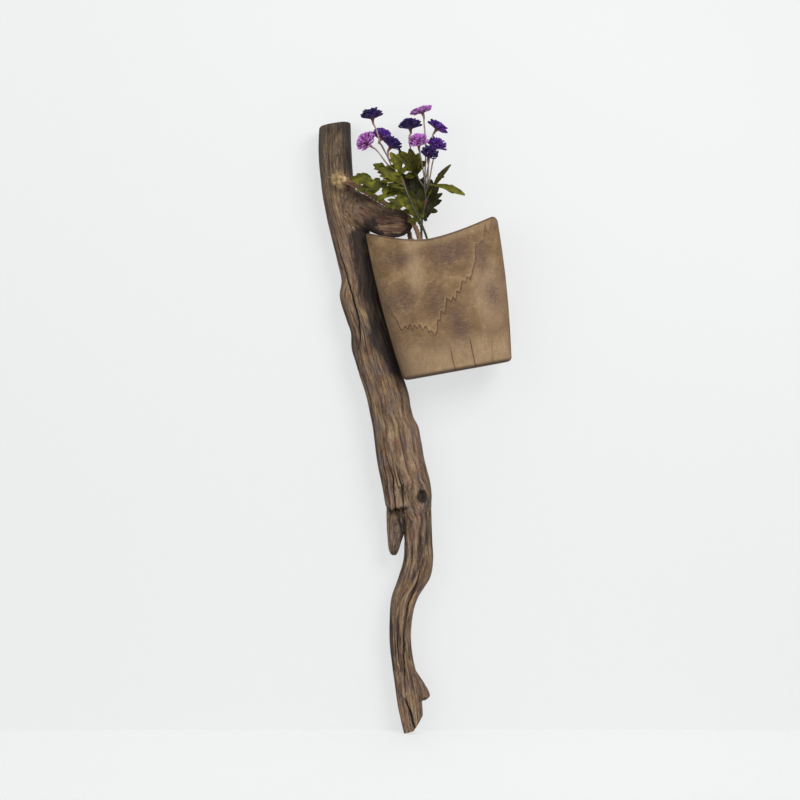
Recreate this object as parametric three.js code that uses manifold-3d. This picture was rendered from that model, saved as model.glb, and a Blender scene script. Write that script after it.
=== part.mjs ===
// Wall planter: a weathered driftwood log that carries a hollowed wooden pot on its right side.
// A jute rope slings the pot from the log's sawn side stub, and a bunch of artificial flowers
// stands in foam inside the pot. Two D-ring hangers on the log's back hold it on the wall.
// Millimetres, +Z up, +X to the viewer's right, the viewer looks along +Y, and the wall is the plane y = 0.
// The origin is on the flat of the log's back where it bears on the wall, near the log's top.

import * as THREE from 'three';
import { mergeVertices } from 'three/addons/utils/BufferGeometryUtils.js';
import Module from 'manifold-3d';

const wasm = await Module();
wasm.setup();
const { Manifold, Mesh: SolidMesh } = wasm;

// Clearances
const SEAT_GAP = 0.3;
const FOAM_SIDE_GAP = 0.6;
const FOOT_HOLE_GAP = 0.5;
const RING_PLAY = 0.5;

// Log
const LOG_SIDES = 16;
const LOG_RING_STEP = 34;
const TOP_CUT_HEIGHT = 58.6;
const TOP_CUT_SLOPE = 0.167;
const FOOT_CUT_HEIGHT = -920;
const FOOT_CUT_LEFT = 112.4;
const FOOT_CUT_SLOPE = 0.35;
const HEEL_CUT_HEIGHT = -914;
const HEEL_CUT_LEFT = 127;
const HEEL_CUT_SLOPE = 1.6;
const STUB_ROOT_RADIUS = 26.5;
const STUB_RADIUS = 24;
const STUB_END_RADIUS = 21;
const KNOB_RADIUS = 10;
const KNOB_END_RADIUS = 8;
const KNOT_HOLE_RADIUS = 7.5;
const KNOT_HOLE_DEPTH = 9;
const CRACK_WIDTH = 4.2;
const CRACK_DEPTH = 8;

// Pot
const POT_HEIGHT = 242;
const POT_TOP_WIDTH = 211;
const POT_BASE_WIDTH = 175;
const POT_TOP_DEPTH = 100;
const POT_BASE_DEPTH = 86;
const POT_WALL = 12;
const POT_FLOOR = 16;
const POT_FOOT_RADIUS = 7;
const POT_SQUARENESS = 2.8;
const POT_TAPER_POWER = 2;
const POT_TILT = THREE.MathUtils.degToRad(10.3);
const POT_WALL_STANDOFF = 11;
const RIM_DIP = 30;
const RIM_RIGHT_DROP = 9;
const RIM_POWER = 1.65;
const RIM_LOW_OFFSET = -8;
const RIM_LEFT_ROUND = 3;
const RIM_RIGHT_ROUND = 12;

// Where the pot bears on the log: the seat's height on the log and on the pot, and how deep the pot beds in
const SEAT_HEIGHT = -184;
const SEAT_UP_POT = 175;
const SEAT_BED = 9.9;

// Screws that hold the pot, driven from inside it
const SCREW_RADIUS = 2.5;
const SCREW_LENGTH = 50;
const SCREW_HEAD_RADIUS = 4.4;
const SCREW_HEAD_HEIGHT = 3;
const SCREW_BEHIND_MIDDLE = 16;
const SCREW_BELOW_SEAT = 8;
const SCREW_SPACING = 42;
const WASHER_RADIUS = 6.5;
const WASHER_THICKNESS = 1.5;

// Rope
const ROPE_DIAMETER = 8;
const ROPE_GAP = 0.5;
const ROPE_HOLE_HEIGHT = 189;
const ROPE_HOLE_OFFSET = -32;
const KNOT_AT_HEIGHT = -34;
const KNOT_WIDTH = 19;
const KNOT_HEIGHT = 20;
const KNOT_DEPTH = 16;
const FRAY_LENGTH = 10;
const NAIL_RADIUS = 1.3;
const NAIL_HEAD_RADIUS = 3;
const NAIL_GRIP = 18;

// Hangers
const STRAP_WIDTH = 14;
const STRAP_LENGTH = 36;
const STRAP_THICKNESS = 2;
const RING_WIRE_RADIUS = 1.5;
const RING_INNER_WIDTH = 17.5;
const RING_STRAIGHT = 10;
const HANGER_SCREW_RADIUS = 1.7;
const HANGER_SCREW_HEAD = 3.1;
const HANGER_SCREW_HEAD_HEIGHT = 2.2;
const HANGER_SCREW_LENGTH = 18;
const HANGER_SCREW_DROP = 8.5;
const HANGER_SCREW_SPACING = 21.5;
const POCKET_MARGIN = 3;
const POCKET_CORNER = 5;
const UPPER_HANGER_HEIGHT = -50;
const LOWER_HANGER_HEIGHT = -440;

// Flowers and foliage
const FOAM_HEIGHT = 99;
const BUNCH_OFFSET = -17;
const FOOT_OFFSET = 24;
const FOOT_RADIUS = 3.2;
const FOOT_DEPTH = 70;
const STEM_RADIUS = 2.1;
const BRANCH_RADIUS = 1.4;
const PEG_RADIUS = 1;
const PEG_LENGTH = 4;
const PEG_GAP = 0.3;
const SLEEVE_WALL = 0.8;
const NECK_LENGTH = 6;
const CALYX_RADIUS = 4;
const CALYX_HEIGHT = 9;
const HEAD_HEIGHT = 18;
const PETAL_THICKNESS = 1.2;
const OUTER_PETALS = 8;
const INNER_PETALS = 5;
const LEAF_THICKNESS = 1;

const WOOD_DARK = new THREE.MeshStandardMaterial({ color: 0x6f5846, roughness: 0.85, metalness: 0 });
const WOOD_PALE = new THREE.MeshStandardMaterial({ color: 0x94795b, roughness: 0.7, metalness: 0 });
const JUTE = new THREE.MeshStandardMaterial({ color: 0xb08c57, roughness: 0.95, metalness: 0 });
const STEEL = new THREE.MeshStandardMaterial({ color: 0x9a9c9e, roughness: 0.35, metalness: 1 });
const FOAM = new THREE.MeshStandardMaterial({ color: 0x3f5a3a, roughness: 1, metalness: 0 });
const STEM = new THREE.MeshStandardMaterial({ color: 0x3c3a24, roughness: 0.6, metalness: 0 });
const LEAF = new THREE.MeshStandardMaterial({ color: 0x5c6d22, roughness: 0.6, metalness: 0 });
const PETAL_NAVY = new THREE.MeshStandardMaterial({ color: 0x2c1f55, roughness: 0.7, metalness: 0 });
const PETAL_VIOLET = new THREE.MeshStandardMaterial({ color: 0x4b2a8c, roughness: 0.7, metalness: 0 });
const PETAL_PINK = new THREE.MeshStandardMaterial({ color: 0xa553b4, roughness: 0.7, metalness: 0 });

const X_AXIS = new THREE.Vector3(1, 0, 0);
const Y_AXIS = new THREE.Vector3(0, 1, 0);
const Z_AXIS = new THREE.Vector3(0, 0, 1);
const vec = (x, y, z) => new THREE.Vector3(x, y, z);

// Solids: closed geometries become Manifold solids so that they can be joined and cut.

function solidOf(geometry) {
  const bare = geometry.index ? geometry.toNonIndexed() : geometry.clone();
  for (const name of Object.keys(bare.attributes)) {
    if (name !== 'position') bare.deleteAttribute(name);
  }
  const merged = mergeVertices(bare, 1e-4);
  const positions = merged.getAttribute('position');
  const index = merged.getIndex();
  const triangles = [];
  for (let i = 0; i < index.count; i += 3) {
    const [a, b, c] = [index.getX(i), index.getX(i + 1), index.getX(i + 2)];
    if (a !== b && b !== c && c !== a) triangles.push(a, b, c);
  }
  const corner = (i) => new THREE.Vector3().fromBufferAttribute(positions, i);
  let volume = 0;
  for (let i = 0; i < triangles.length; i += 3) {
    volume += corner(triangles[i]).dot(corner(triangles[i + 1]).cross(corner(triangles[i + 2])));
  }
  if (volume < 0) triangles.reverse();
  const vertProperties = new Float32Array(positions.array);
  return new Manifold(new SolidMesh({ numProp: 3, vertProperties, triVerts: new Uint32Array(triangles) }));
}

function geometryOf(solid) {
  const mesh = solid.getMesh();
  const geometry = new THREE.BufferGeometry();
  geometry.setAttribute('position', new THREE.BufferAttribute(new Float32Array(mesh.vertProperties), 3));
  geometry.setIndex(new THREE.BufferAttribute(new Uint32Array(mesh.triVerts), 1));
  const flat = geometry.toNonIndexed();
  flat.computeVertexNormals();
  return flat;
}

const join = (...solids) => solids.reduce((whole, next) => whole.add(next));
const moved = (solid, matrix) => solid.transform([...matrix.elements]);
const shifted = (solid, x, y, z) => solid.translate([x, y, z]);

function box(x0, x1, y0, y1, z0, z1) {
  const geometry = new THREE.BoxGeometry(x1 - x0, y1 - y0, z1 - z0);
  geometry.translate((x0 + x1) / 2, (y0 + y1) / 2, (z0 + z1) / 2);
  return solidOf(geometry);
}

// A round bar from one point to another; its end radius may differ.
function bar(from, to, radius, sides, endRadius = radius) {
  const along = to.clone().sub(from);
  const geometry = new THREE.CylinderGeometry(endRadius, radius, along.length(), sides);
  const turn = new THREE.Quaternion().setFromUnitVectors(Y_AXIS, along.clone().normalize());
  geometry.applyQuaternion(turn);
  geometry.translate(...from.clone().add(to).multiplyScalar(0.5).toArray());
  return solidOf(geometry);
}

// A tube of one radius along a smooth curve through the points.
function tube(points, radius, sides, steps) {
  const section = new THREE.Shape();
  for (let i = 0; i < sides; i += 1) {
    const angle = (2 * Math.PI * i) / sides;
    const place = [radius * Math.cos(angle), radius * Math.sin(angle)];
    if (i === 0) section.moveTo(...place);
    else section.lineTo(...place);
  }
  const path = new THREE.CatmullRomCurve3(points);
  return solidOf(new THREE.ExtrudeGeometry(section, { steps, bevelEnabled: false, extrudePath: path }));
}

// A closed skin over rings of points, all with the same count, with a flat fan over each end.
function loft(rings) {
  const sides = rings[0].length;
  const corners = rings.flat();
  const faces = [];
  for (let r = 0; r + 1 < rings.length; r += 1) {
    for (let i = 0; i < sides; i += 1) {
      const j = (i + 1) % sides;
      const [a, b, c, d] = [r * sides + i, r * sides + j, (r + 1) * sides + j, (r + 1) * sides + i];
      faces.push(a, b, c, a, c, d);
    }
  }
  const middle = (ring) => ring.reduce((sum, p) => sum.add(p), vec(0, 0, 0)).divideScalar(sides);
  const ends = [[0, true], [rings.length - 1, false]];
  for (const [r, first] of ends) {
    if (sides === 3) {
      const [a, b, c] = [r * 3, r * 3 + 1, r * 3 + 2];
      faces.push(...(first ? [a, c, b] : [a, b, c]));
      continue;
    }
    const hub = corners.length;
    corners.push(middle(rings[r]));
    for (let i = 0; i < sides; i += 1) {
      const j = (i + 1) % sides;
      if (first) faces.push(hub, r * sides + j, r * sides + i);
      else faces.push(hub, r * sides + i, r * sides + j);
    }
  }
  const geometry = new THREE.BufferGeometry();
  geometry.setAttribute('position', new THREE.Float32BufferAttribute(corners.flatMap((p) => p.toArray()), 3));
  geometry.setIndex(faces);
  return solidOf(geometry);
}

// A round limb whose radius changes along a smooth curve; squash flattens it front to back.
function limb(points, radii, sides, steps, squash = 1) {
  const curve = new THREE.CatmullRomCurve3(points);
  const frames = curve.computeFrenetFrames(steps, false);
  const rings = [];
  for (let s = 0; s <= steps; s += 1) {
    const share = (s / steps) * (radii.length - 1);
    const low = Math.min(Math.floor(share), radii.length - 2);
    const radius = THREE.MathUtils.lerp(radii[low], radii[low + 1], share - low);
    const centre = curve.getPointAt(s / steps);
    const ring = [];
    for (let i = 0; i < sides; i += 1) {
      const angle = (2 * Math.PI * i) / sides;
      const out = frames.normals[s].clone().multiplyScalar(Math.cos(angle));
      out.addScaledVector(frames.binormals[s], Math.sin(angle));
      out.y *= squash;
      ring.push(centre.clone().addScaledVector(out, radius));
    }
    rings.push(ring);
  }
  return loft(rings);
}

// Smooth values between the rows of a table whose first column is the height, highest row first.
function tableAt(rows, height) {
  const value = (i, k) => rows[Math.min(Math.max(i, 0), rows.length - 1)][k];
  let i = rows.findIndex((row) => row[0] <= height);
  if (i < 1) i = i === 0 ? 1 : rows.length - 1;
  const span = value(i, 0) - value(i - 1, 0);
  const t = THREE.MathUtils.clamp((height - value(i - 1, 0)) / span, 0, 1);
  const slope = (at, k) => {
    const run = value(at + 1, 0) - value(at - 1, 0);
    return ((value(at + 1, k) - value(at - 1, k)) / run) * span;
  };
  return rows[0].slice(1).map((_, c) => {
    const k = c + 1;
    const [p, q, m, n] = [value(i - 1, k), value(i, k), slope(i - 1, k), slope(i, k)];
    const [t2, t3] = [t * t, t * t * t];
    return (2 * t3 - 3 * t2 + 1) * p + (t3 - 2 * t2 + t) * m + (3 * t2 - 2 * t3) * q + (t3 - t2) * n;
  });
}

const superPower = (value, power) => Math.sign(value) * Math.abs(value) ** power;

// The log's trunk and its lower limb: [height, left edge, right edge, front, back].
// The back lies behind the wall plane where the trunk is planed flat.
const TRUNK = [
  [78, -24, 22, -57, 8],
  [20, -26, 24, -60, 9],
  [-32, -22, 29, -62, 9],
  [-80, -15, 42, -61, 9],
  [-128, -3, 60, -60, 6],
  [-165, 6, 69, -59, 1],
  [-192, 12, 73, -59, -2],
  [-218, 9, 71, -58, -4],
  [-256, 20, 79.5, -58, -4],
  [-276, 26.5, 84.5, -58, -3],
  [-301, 27.5, 92, -59, -1],
  [-339, 38, 101.5, -61, 5],
  [-378, 50, 117, -63, 9],
  [-412, 57, 124, -65, 9],
  [-428, 60, 132, -66, 9],
  [-483, 67, 142, -67, 9],
  [-528, 76, 153, -66, 3],
  [-556, 81, 151, -63, -2],
];
const LIMB = [
  [-462, 110, 124, -48, -14],
  [-496, 111, 141, -58, -9],
  [-528, 104, 152.5, -66, -6],
  [-556, 107, 153, -65.5, -6],
  [-580, 111, 153.5, -61, -7],
  [-616, 112, 155, -54, -8],
  [-640, 111, 156.5, -52, -9],
  [-670, 103, 152, -50, -10],
  [-702, 92, 132, -49, -11],
  [-735, 88.5, 123, -48, -11],
  [-781, 89, 121.5, -47, -11],
  [-838, 96, 132, -46, -12],
  [-877, 101.5, 139, -45, -12],
  [-909, 109, 138, -42, -13],
  [-928, 113, 134, -38, -17],
];
const SPIKE = [
  [-520, 82, 112, -48, -12],
  [-592, 84.5, 111, -45, -18],
  [-612, 86, 104, -43, -22],
  [-631, 90.5, 94, -36, -28],
];
const SPLINTER = [
  [-530, 101, 113, -54, -20],
  [-575, 103.5, 113, -52, -26],
  [-595, 107.5, 112.5, -44, -36],
];

// One ring of the log at a height: a rounded section with shallow ridges that wander up the grain.
function logRing(rows, height, sides) {
  const [left, right, front, back] = tableAt(rows, height);
  const ring = [];
  for (let i = 0; i < sides; i += 1) {
    const angle = (2 * Math.PI * i) / sides;
    const ridge = 1 + 0.018 * Math.sin(5 * angle + height / 90) + 0.014 * Math.sin(9 * angle - height / 60);
    const out = 0.985 * ridge;
    ring.push(vec(
      (left + right) / 2 + ((right - left) / 2) * out * superPower(Math.cos(angle), 0.9),
      (front + back) / 2 + ((back - front) / 2) * out * superPower(Math.sin(angle), 0.9),
      height,
    ));
  }
  return ring;
}

function grownLimb(rows, sides = LOG_SIDES, step = LOG_RING_STEP) {
  const [top, bottom] = [rows[0][0], rows.at(-1)[0]];
  const count = Math.ceil((top - bottom) / step);
  const rings = [];
  for (let i = 0; i <= count; i += 1) {
    rings.push(logRing(rows, THREE.MathUtils.lerp(top, bottom, i / count), sides));
  }
  return loft(rings);
}

// A drying crack: a thin wedge along a line of points on the log's front, deepest in the middle.
function crack(points) {
  const curve = new THREE.CatmullRomCurve3(points);
  const steps = Math.round(points.length * 1.4);
  const rings = [];
  for (let s = 0; s <= steps; s += 1) {
    const centre = curve.getPoint(s / steps);
    const swell = 0.25 + 0.75 * Math.sin((Math.PI * s) / steps);
    const half = (CRACK_WIDTH / 2) * swell;
    rings.push([
      centre.clone().add(vec(-half, -CRACK_DEPTH, 0)),
      centre.clone().add(vec(half, -CRACK_DEPTH, 0)),
      centre.clone().add(vec(0, CRACK_DEPTH * swell, 0)),
    ]);
  }
  return loft(rings);
}

const frontOf = (rows, height, share) => {
  const [left, right, front, back] = tableAt(rows, height);
  const drop = 1 - Math.sqrt(1 - (2 * share - 1) ** 2);
  return vec(left + (right - left) * share, front + ((back - front) / 2) * drop, height);
};

const crackAlong = (rows, spots) => crack(spots.map(([height, share]) => frontOf(rows, height, share)));

// Pot: half width and half depth of its outside at a height above its base, in its own frame
// (origin at the middle of its base, +Z up its axis).
function potHalf(height, inset = 0) {
  const share = Math.max(0, 1 - height / POT_HEIGHT) ** POT_TAPER_POWER;
  const foot = Math.max(0, POT_FOOT_RADIUS - Math.max(height, 0));
  const tuck = POT_FOOT_RADIUS - Math.sqrt(Math.max(0, POT_FOOT_RADIUS ** 2 - foot ** 2));
  const width = (POT_TOP_WIDTH - (POT_TOP_WIDTH - POT_BASE_WIDTH) * share) / 2;
  const depth = (POT_TOP_DEPTH - (POT_TOP_DEPTH - POT_BASE_DEPTH) * share) / 2;
  return [width - tuck - inset, depth - tuck - inset];
}

function potRing(height, inset, sides) {
  const [a, b] = potHalf(height, inset);
  const ring = [];
  for (let i = 0; i < sides; i += 1) {
    const angle = (2 * Math.PI * (i + 0.5)) / sides;
    const x = a * superPower(Math.cos(angle), 2 / POT_SQUARENESS);
    const y = b * superPower(Math.sin(angle), 2 / POT_SQUARENESS);
    ring.push(vec(x, y, height));
  }
  return ring;
}

function potShell(heights, inset, sides) {
  return loft(heights.map((height) => potRing(height, inset, sides)));
}

// Height of the rim above the base: a saddle, lowest a little left of the middle, with rounded corners.
const potLipHalf = potHalf(POT_HEIGHT)[0];

function rimHeight(x) {
  const reach = Math.abs(x - RIM_LOW_OFFSET) / (potLipHalf - Math.sign(x - RIM_LOW_OFFSET) * RIM_LOW_OFFSET);
  const rise = x < RIM_LOW_OFFSET ? RIM_DIP : RIM_DIP - RIM_RIGHT_DROP;
  const round = x < 0 ? RIM_LEFT_ROUND : RIM_RIGHT_ROUND;
  const into = Math.min(Math.max(0, Math.abs(x) - (potLipHalf - round)), round);
  const fall = round - Math.sqrt(round ** 2 - into ** 2);
  return POT_HEIGHT - RIM_DIP + rise * reach ** RIM_POWER - fall;
}

function rimCutter() {
  const above = POT_HEIGHT + 2 * RIM_DIP;
  const shape = new THREE.Shape();
  shape.moveTo(-POT_TOP_WIDTH, above);
  shape.lineTo(-POT_TOP_WIDTH, rimHeight(-potLipHalf));
  const steps = 16;
  for (let i = 0; i <= steps; i += 1) {
    const x = -potLipHalf * Math.cos((Math.PI * i) / steps);
    shape.lineTo(x, rimHeight(x));
  }
  shape.lineTo(POT_TOP_WIDTH, rimHeight(potLipHalf));
  shape.lineTo(POT_TOP_WIDTH, above);
  const cutter = new THREE.ExtrudeGeometry(shape, { depth: 2 * POT_TOP_DEPTH, bevelEnabled: false });
  cutter.translate(0, 0, -POT_TOP_DEPTH);
  cutter.rotateX(Math.PI / 2);
  return solidOf(cutter);
}

const footHeights = [0, 0.3, 1].map((share) => share * POT_FOOT_RADIUS);
const bodyHeights = [0.13, 0.28, 0.46, 0.7, 1.08].map((share) => share * POT_HEIGHT);
const cavityHeights = [POT_FLOOR, ...[0.2, 0.42, 0.7, 1.12].map((share) => share * POT_HEIGHT)];
const potOutside = potShell([...footHeights, ...bodyHeights], 0, 36);
const potCavity = potShell(cavityHeights, POT_WALL, 28);
const potClearance = potShell([...footHeights, ...bodyHeights], -SEAT_GAP, 36).subtract(
  shifted(rimCutter(), 0, 0, SEAT_GAP),
);

// The pot's frame: tilted so that its top leans left, with its left side bedded into the trunk.
const potFrame = new THREE.Group();
potFrame.rotation.y = -POT_TILT;
const potMiddle = -(POT_TOP_DEPTH / 2 + POT_WALL_STANDOFF);
const seatEdge = vec(-potHalf(SEAT_UP_POT)[0], 0, SEAT_UP_POT).applyAxisAngle(Y_AXIS, -POT_TILT);
const trunkRight = tableAt(TRUNK, SEAT_HEIGHT)[1];
potFrame.position.set(trunkRight - SEAT_BED - seatEdge.x, potMiddle, SEAT_HEIGHT - seatEdge.z);
potFrame.updateMatrixWorld(true);
const potToWorld = potFrame.matrixWorld.clone();
const worldToPot = potToWorld.clone().invert();
const potPoint = (x, y, z) => vec(x, y, z).applyMatrix4(potToWorld);

const root = new THREE.Group();
root.name = 'wall_log_planter';
root.add(potFrame);

function piece(name, solid, material, parent = root) {
  const mesh = new THREE.Mesh(geometryOf(solid), material);
  mesh.name = name;
  parent.add(mesh);
  return mesh;
}

// A large block whose flat face goes through a point, on the side that the normal points to.
function beyond(point, normal, size) {
  const block = new THREE.BoxGeometry(size, size, size);
  block.translate(0, 0, size / 2);
  block.applyQuaternion(new THREE.Quaternion().setFromUnitVectors(Z_AXIS, normal.clone().normalize()));
  block.translate(...point.toArray());
  return solidOf(block);
}

// A screw or nail along Y: head towards +Y with its underside at the origin, point towards -Y.
function screw(radius, length, headRadius, headHeight, sides) {
  const profile = [
    [0, -length],
    [radius, -0.85 * length],
    [radius, 0],
    [headRadius, 0],
    [headRadius, 0.4 * headHeight],
    [0.65 * headRadius, headHeight],
    [0, headHeight],
  ];
  return solidOf(new THREE.LatheGeometry(profile.map(([r, y]) => new THREE.Vector2(r, y)), sides));
}

// The hole for such a screw, open at its head end.
const screwHole = (radius, length, sides) => bar(vec(0, -length - SEAT_GAP, 0), vec(0, 1, 0), radius, sides);

// Rope: from its knot on the trunk, taut over the stub's end, down into the pot, out through the back
// wall, and up behind the stub to lie beside itself on the way back to the knot.
const knotFront = frontOf(TRUNK, KNOT_AT_HEIGHT, 0.62);
const knotMiddle = vec(knotFront.x, knotFront.y - KNOT_DEPTH / 2 + 1.5, KNOT_AT_HEIGHT);
const potBack = potMiddle + POT_TOP_DEPTH / 2;
const ropeHole = potPoint(ROPE_HOLE_OFFSET, 0, ROPE_HOLE_HEIGHT);
const ropeBehindPot = potBack / 2;
const ropePath = [
  vec(16, -70, -37),
  vec(30, -67.5, -41.5),
  vec(50, -62, -53.5),
  vec(72, -54.5, -65.3),
  vec(91, -50, -75.6),
  vec(105, -47.5, -82.8),
  vec(115, -47, -89),
  vec(123, -50, -97.5),
  vec(129.5, -56, -110),
  vec(134, -61, -123),
  vec(135.5, -62, -136),
  vec(133.5, -51, ropeHole.z + 6),
  vec(ropeHole.x + 2, -40, ropeHole.z + 1),
  vec(ropeHole.x, potBack - POT_WALL, ropeHole.z),
  vec(ropeHole.x, potBack - 3.5, ropeHole.z + 0.6),
  vec(ropeHole.x, ropeBehindPot - 1, ropeHole.z + 6),
  vec(ropeHole.x - 1, ropeBehindPot, ropeHole.z + 14),
  vec(ropeHole.x - 5, ropeBehindPot - 3, ropeHole.z + 30),
  vec(121, -17, -125),
  vec(119, -25, -116),
  vec(115, -32, -105),
  vec(108, -37, -93),
  vec(96, -40.5, -80.5),
  vec(84, -43, -71.5),
  vec(64, -47.5, -58.5),
  vec(46, -52.5, -47.5),
  vec(32, -57.5, -38.5),
  vec(18, -60, -32),
];
const ropeSides = 7;
const ropeSteps = 42;
const ropeWhole = tube(ropePath, ROPE_DIAMETER / 2, ropeSides, ropeSteps);
const ropeWay = tube(ropePath, ROPE_DIAMETER / 2 + ROPE_GAP, ropeSides, ropeSteps);

// Pot screws: two, one above the other, through the pot's left wall into the trunk.
const screwHeights = [0, SCREW_SPACING].map((rise) => SEAT_UP_POT - SCREW_BELOW_SEAT + rise);
const screwPlaces = screwHeights.map((height) => vec(POT_WALL - potHalf(height)[0], SCREW_BEHIND_MIDDLE, height));
const screwTurn = new THREE.Quaternion().setFromUnitVectors(Y_AXIS, X_AXIS);
const screwMatrix = (place, ahead) => new THREE.Matrix4().compose(
  place.clone().add(vec(ahead, 0, 0)),
  screwTurn,
  vec(1, 1, 1),
);
const headSeat = 2 * SEAT_GAP + WASHER_THICKNESS;

// Log
const stubAxis = [
  vec(12, -33, -64),
  vec(30, -39, -75),
  vec(55, -47, -88.5),
  vec(78, -53.5, -99.5),
  vec(105.6, -61, -106.5),
  vec(132, -68, -111),
];
const stubRadii = [
  STUB_ROOT_RADIUS,
  STUB_ROOT_RADIUS,
  STUB_RADIUS,
  0.5 * (STUB_RADIUS + STUB_END_RADIUS),
  STUB_END_RADIUS,
];
const stubFace = vec(86.5, -59, -108.5);
const sawnWay = vec(0.36, -0.9, -0.28);
const sawnStub = limb(stubAxis, stubRadii, 12, 8).subtract(beyond(stubFace, sawnWay, 200));

const knob = bar(vec(120, -29, -843), vec(147, -34, -867), KNOB_RADIUS, 12, KNOB_END_RADIUS);
const knotHoleAt = frontOf(TRUNK, -536, 0.8);
const knotHole = bar(
  knotHoleAt.clone().add(vec(0, KNOT_HOLE_DEPTH, 0)),
  knotHoleAt.clone().add(vec(2, -10, 0)),
  0.6 * KNOT_HOLE_RADIUS,
  10,
  1.35 * KNOT_HOLE_RADIUS,
);
const cracks = [
  crackAlong(TRUNK, [[-126, 0.1], [-160, 0.12], [-194, 0.16], [-222, 0.33], [-253, 0.3], [-278, 0.22], [-304, 0.14]]),
  crackAlong(TRUNK, [[-392, 0.62], [-430, 0.58], [-480, 0.6], [-520, 0.63]]),
  crackAlong(TRUNK, [[-462, 0.24], [-505, 0.27], [-570, 0.26]]),
  crackAlong(TRUNK, [[-478, 0.4], [-520, 0.42], [-572, 0.4]]),
  crackAlong(LIMB, [[-655, 0.6], [-676, 0.64], [-714, 0.71], [-768, 0.69], [-796, 0.57], [-851, 0.43]]),
  crackAlong(LIMB, [[-861, 0.34], [-885, 0.5], [-920, 0.72]]),
];

let log = join(
  grownLimb(TRUNK),
  grownLimb(LIMB, 12),
  grownLimb(SPIKE, 10, 22),
  grownLimb(SPLINTER, 6, 20),
  sawnStub,
  knob,
);
log = log.subtract(beyond(vec(0, 0, TOP_CUT_HEIGHT), vec(-TOP_CUT_SLOPE, 0, 1), 400));
log = log.subtract(beyond(vec(FOOT_CUT_LEFT, 0, FOOT_CUT_HEIGHT), vec(FOOT_CUT_SLOPE, 0, -1), 400));
log = log.subtract(beyond(vec(HEEL_CUT_LEFT, 0, HEEL_CUT_HEIGHT), vec(HEEL_CUT_SLOPE, 0, -1), 400));
log = log.subtract(box(-300, 400, 0, 100, -1200, 300));
for (const cut of [...cracks, knotHole]) log = log.subtract(cut);
log = log.subtract(moved(potClearance, potToWorld));
log = log.subtract(ropeWay);
for (const place of screwPlaces) {
  const hole = screwHole(SCREW_RADIUS + SEAT_GAP, SCREW_LENGTH, 10);
  log = log.subtract(moved(moved(hole, screwMatrix(place, headSeat)), potToWorld));
}

// Hangers: a routed recess with a strap screwed to its floor, and a D-ring that swings in the strap's eye.
const eyeInner = RING_WIRE_RADIUS + RING_PLAY;
const eyeOuter = eyeInner + STRAP_THICKNESS;
const ringMiddle = RING_INNER_WIDTH / 2 + RING_WIRE_RADIUS;
const ringReach = RING_STRAIGHT + ringMiddle + RING_WIRE_RADIUS;
const pocketDepth = 2 * eyeOuter + SEAT_GAP + 0.7;
const pocketHalf = ringMiddle + RING_WIRE_RADIUS + POCKET_MARGIN;
const eyeBack = SEAT_GAP - pocketDepth;
const pivotBack = eyeBack + eyeOuter;
const strapTop = eyeBack + STRAP_THICKNESS;
const hangerScrews = [-HANGER_SCREW_DROP, -HANGER_SCREW_DROP - HANGER_SCREW_SPACING];

function hangerPocket() {
  const [top, bottom] = [ringReach + POCKET_MARGIN, -STRAP_LENGTH - POCKET_MARGIN];
  const [w, c] = [pocketHalf, POCKET_CORNER];
  const shape = new THREE.Shape();
  shape.moveTo(-w + c, bottom);
  shape.lineTo(w - c, bottom);
  shape.absarc(w - c, bottom + c, c, -Math.PI / 2, 0, false);
  shape.lineTo(w, top - c);
  shape.absarc(w - c, top - c, c, 0, Math.PI / 2, false);
  shape.lineTo(-w + c, top);
  shape.absarc(-w + c, top - c, c, Math.PI / 2, Math.PI, false);
  shape.lineTo(-w, bottom + c);
  shape.absarc(-w + c, bottom + c, c, Math.PI, 1.5 * Math.PI, false);
  const block = new THREE.ExtrudeGeometry(shape, { depth: pocketDepth + 10, bevelEnabled: false, curveSegments: 4 });
  block.rotateX(Math.PI / 2);
  block.translate(0, 10, 0);
  return solidOf(block);
}

function hangerStrap() {
  const shape = new THREE.Shape();
  shape.moveTo(-eyeOuter, -STRAP_LENGTH);
  shape.lineTo(-eyeOuter + STRAP_THICKNESS, -STRAP_LENGTH);
  shape.lineTo(-eyeOuter + STRAP_THICKNESS, -Math.sqrt(eyeOuter ** 2 - eyeInner ** 2));
  shape.absarc(0, 0, eyeOuter, -Math.acos(-eyeInner / eyeOuter), Math.PI, false);
  shape.lineTo(-eyeOuter, -STRAP_LENGTH);
  const eye = new THREE.Path();
  eye.absarc(0, 0, eyeInner, 0, 2 * Math.PI, true);
  shape.holes.push(eye);
  const strip = new THREE.ExtrudeGeometry(shape, { depth: STRAP_WIDTH, bevelEnabled: false, curveSegments: 9 });
  strip.translate(0, 0, -STRAP_WIDTH / 2);
  const turn = new THREE.Matrix4().makeBasis(Y_AXIS, Z_AXIS, X_AXIS);
  strip.applyMatrix4(turn);
  let strap = shifted(solidOf(strip), 0, pivotBack, 0);
  for (const height of hangerScrews) {
    const hole = bar(vec(0, eyeBack - 1, height), vec(0, strapTop + 1, height), HANGER_SCREW_RADIUS + SEAT_GAP, 12);
    strap = strap.subtract(hole);
  }
  return strap;
}

function hangerRing() {
  const path = [vec(-ringMiddle, 0, 0), vec(-ringMiddle, 0, -RING_STRAIGHT / 2)];
  const arcSteps = 8;
  for (let i = 0; i <= arcSteps; i += 1) {
    const angle = Math.PI + (Math.PI * i) / arcSteps;
    path.push(vec(ringMiddle * Math.cos(angle), 0, ringMiddle * Math.sin(angle) - RING_STRAIGHT));
  }
  path.push(vec(ringMiddle, 0, -RING_STRAIGHT / 2), vec(ringMiddle, 0, 0));
  const bow = tube(path, RING_WIRE_RADIUS, 6, 15);
  const reach = ringMiddle + RING_WIRE_RADIUS;
  const axle = bar(vec(-reach, 0, 0), vec(reach, 0, 0), RING_WIRE_RADIUS, 6);
  return join(bow, axle);
}

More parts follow.
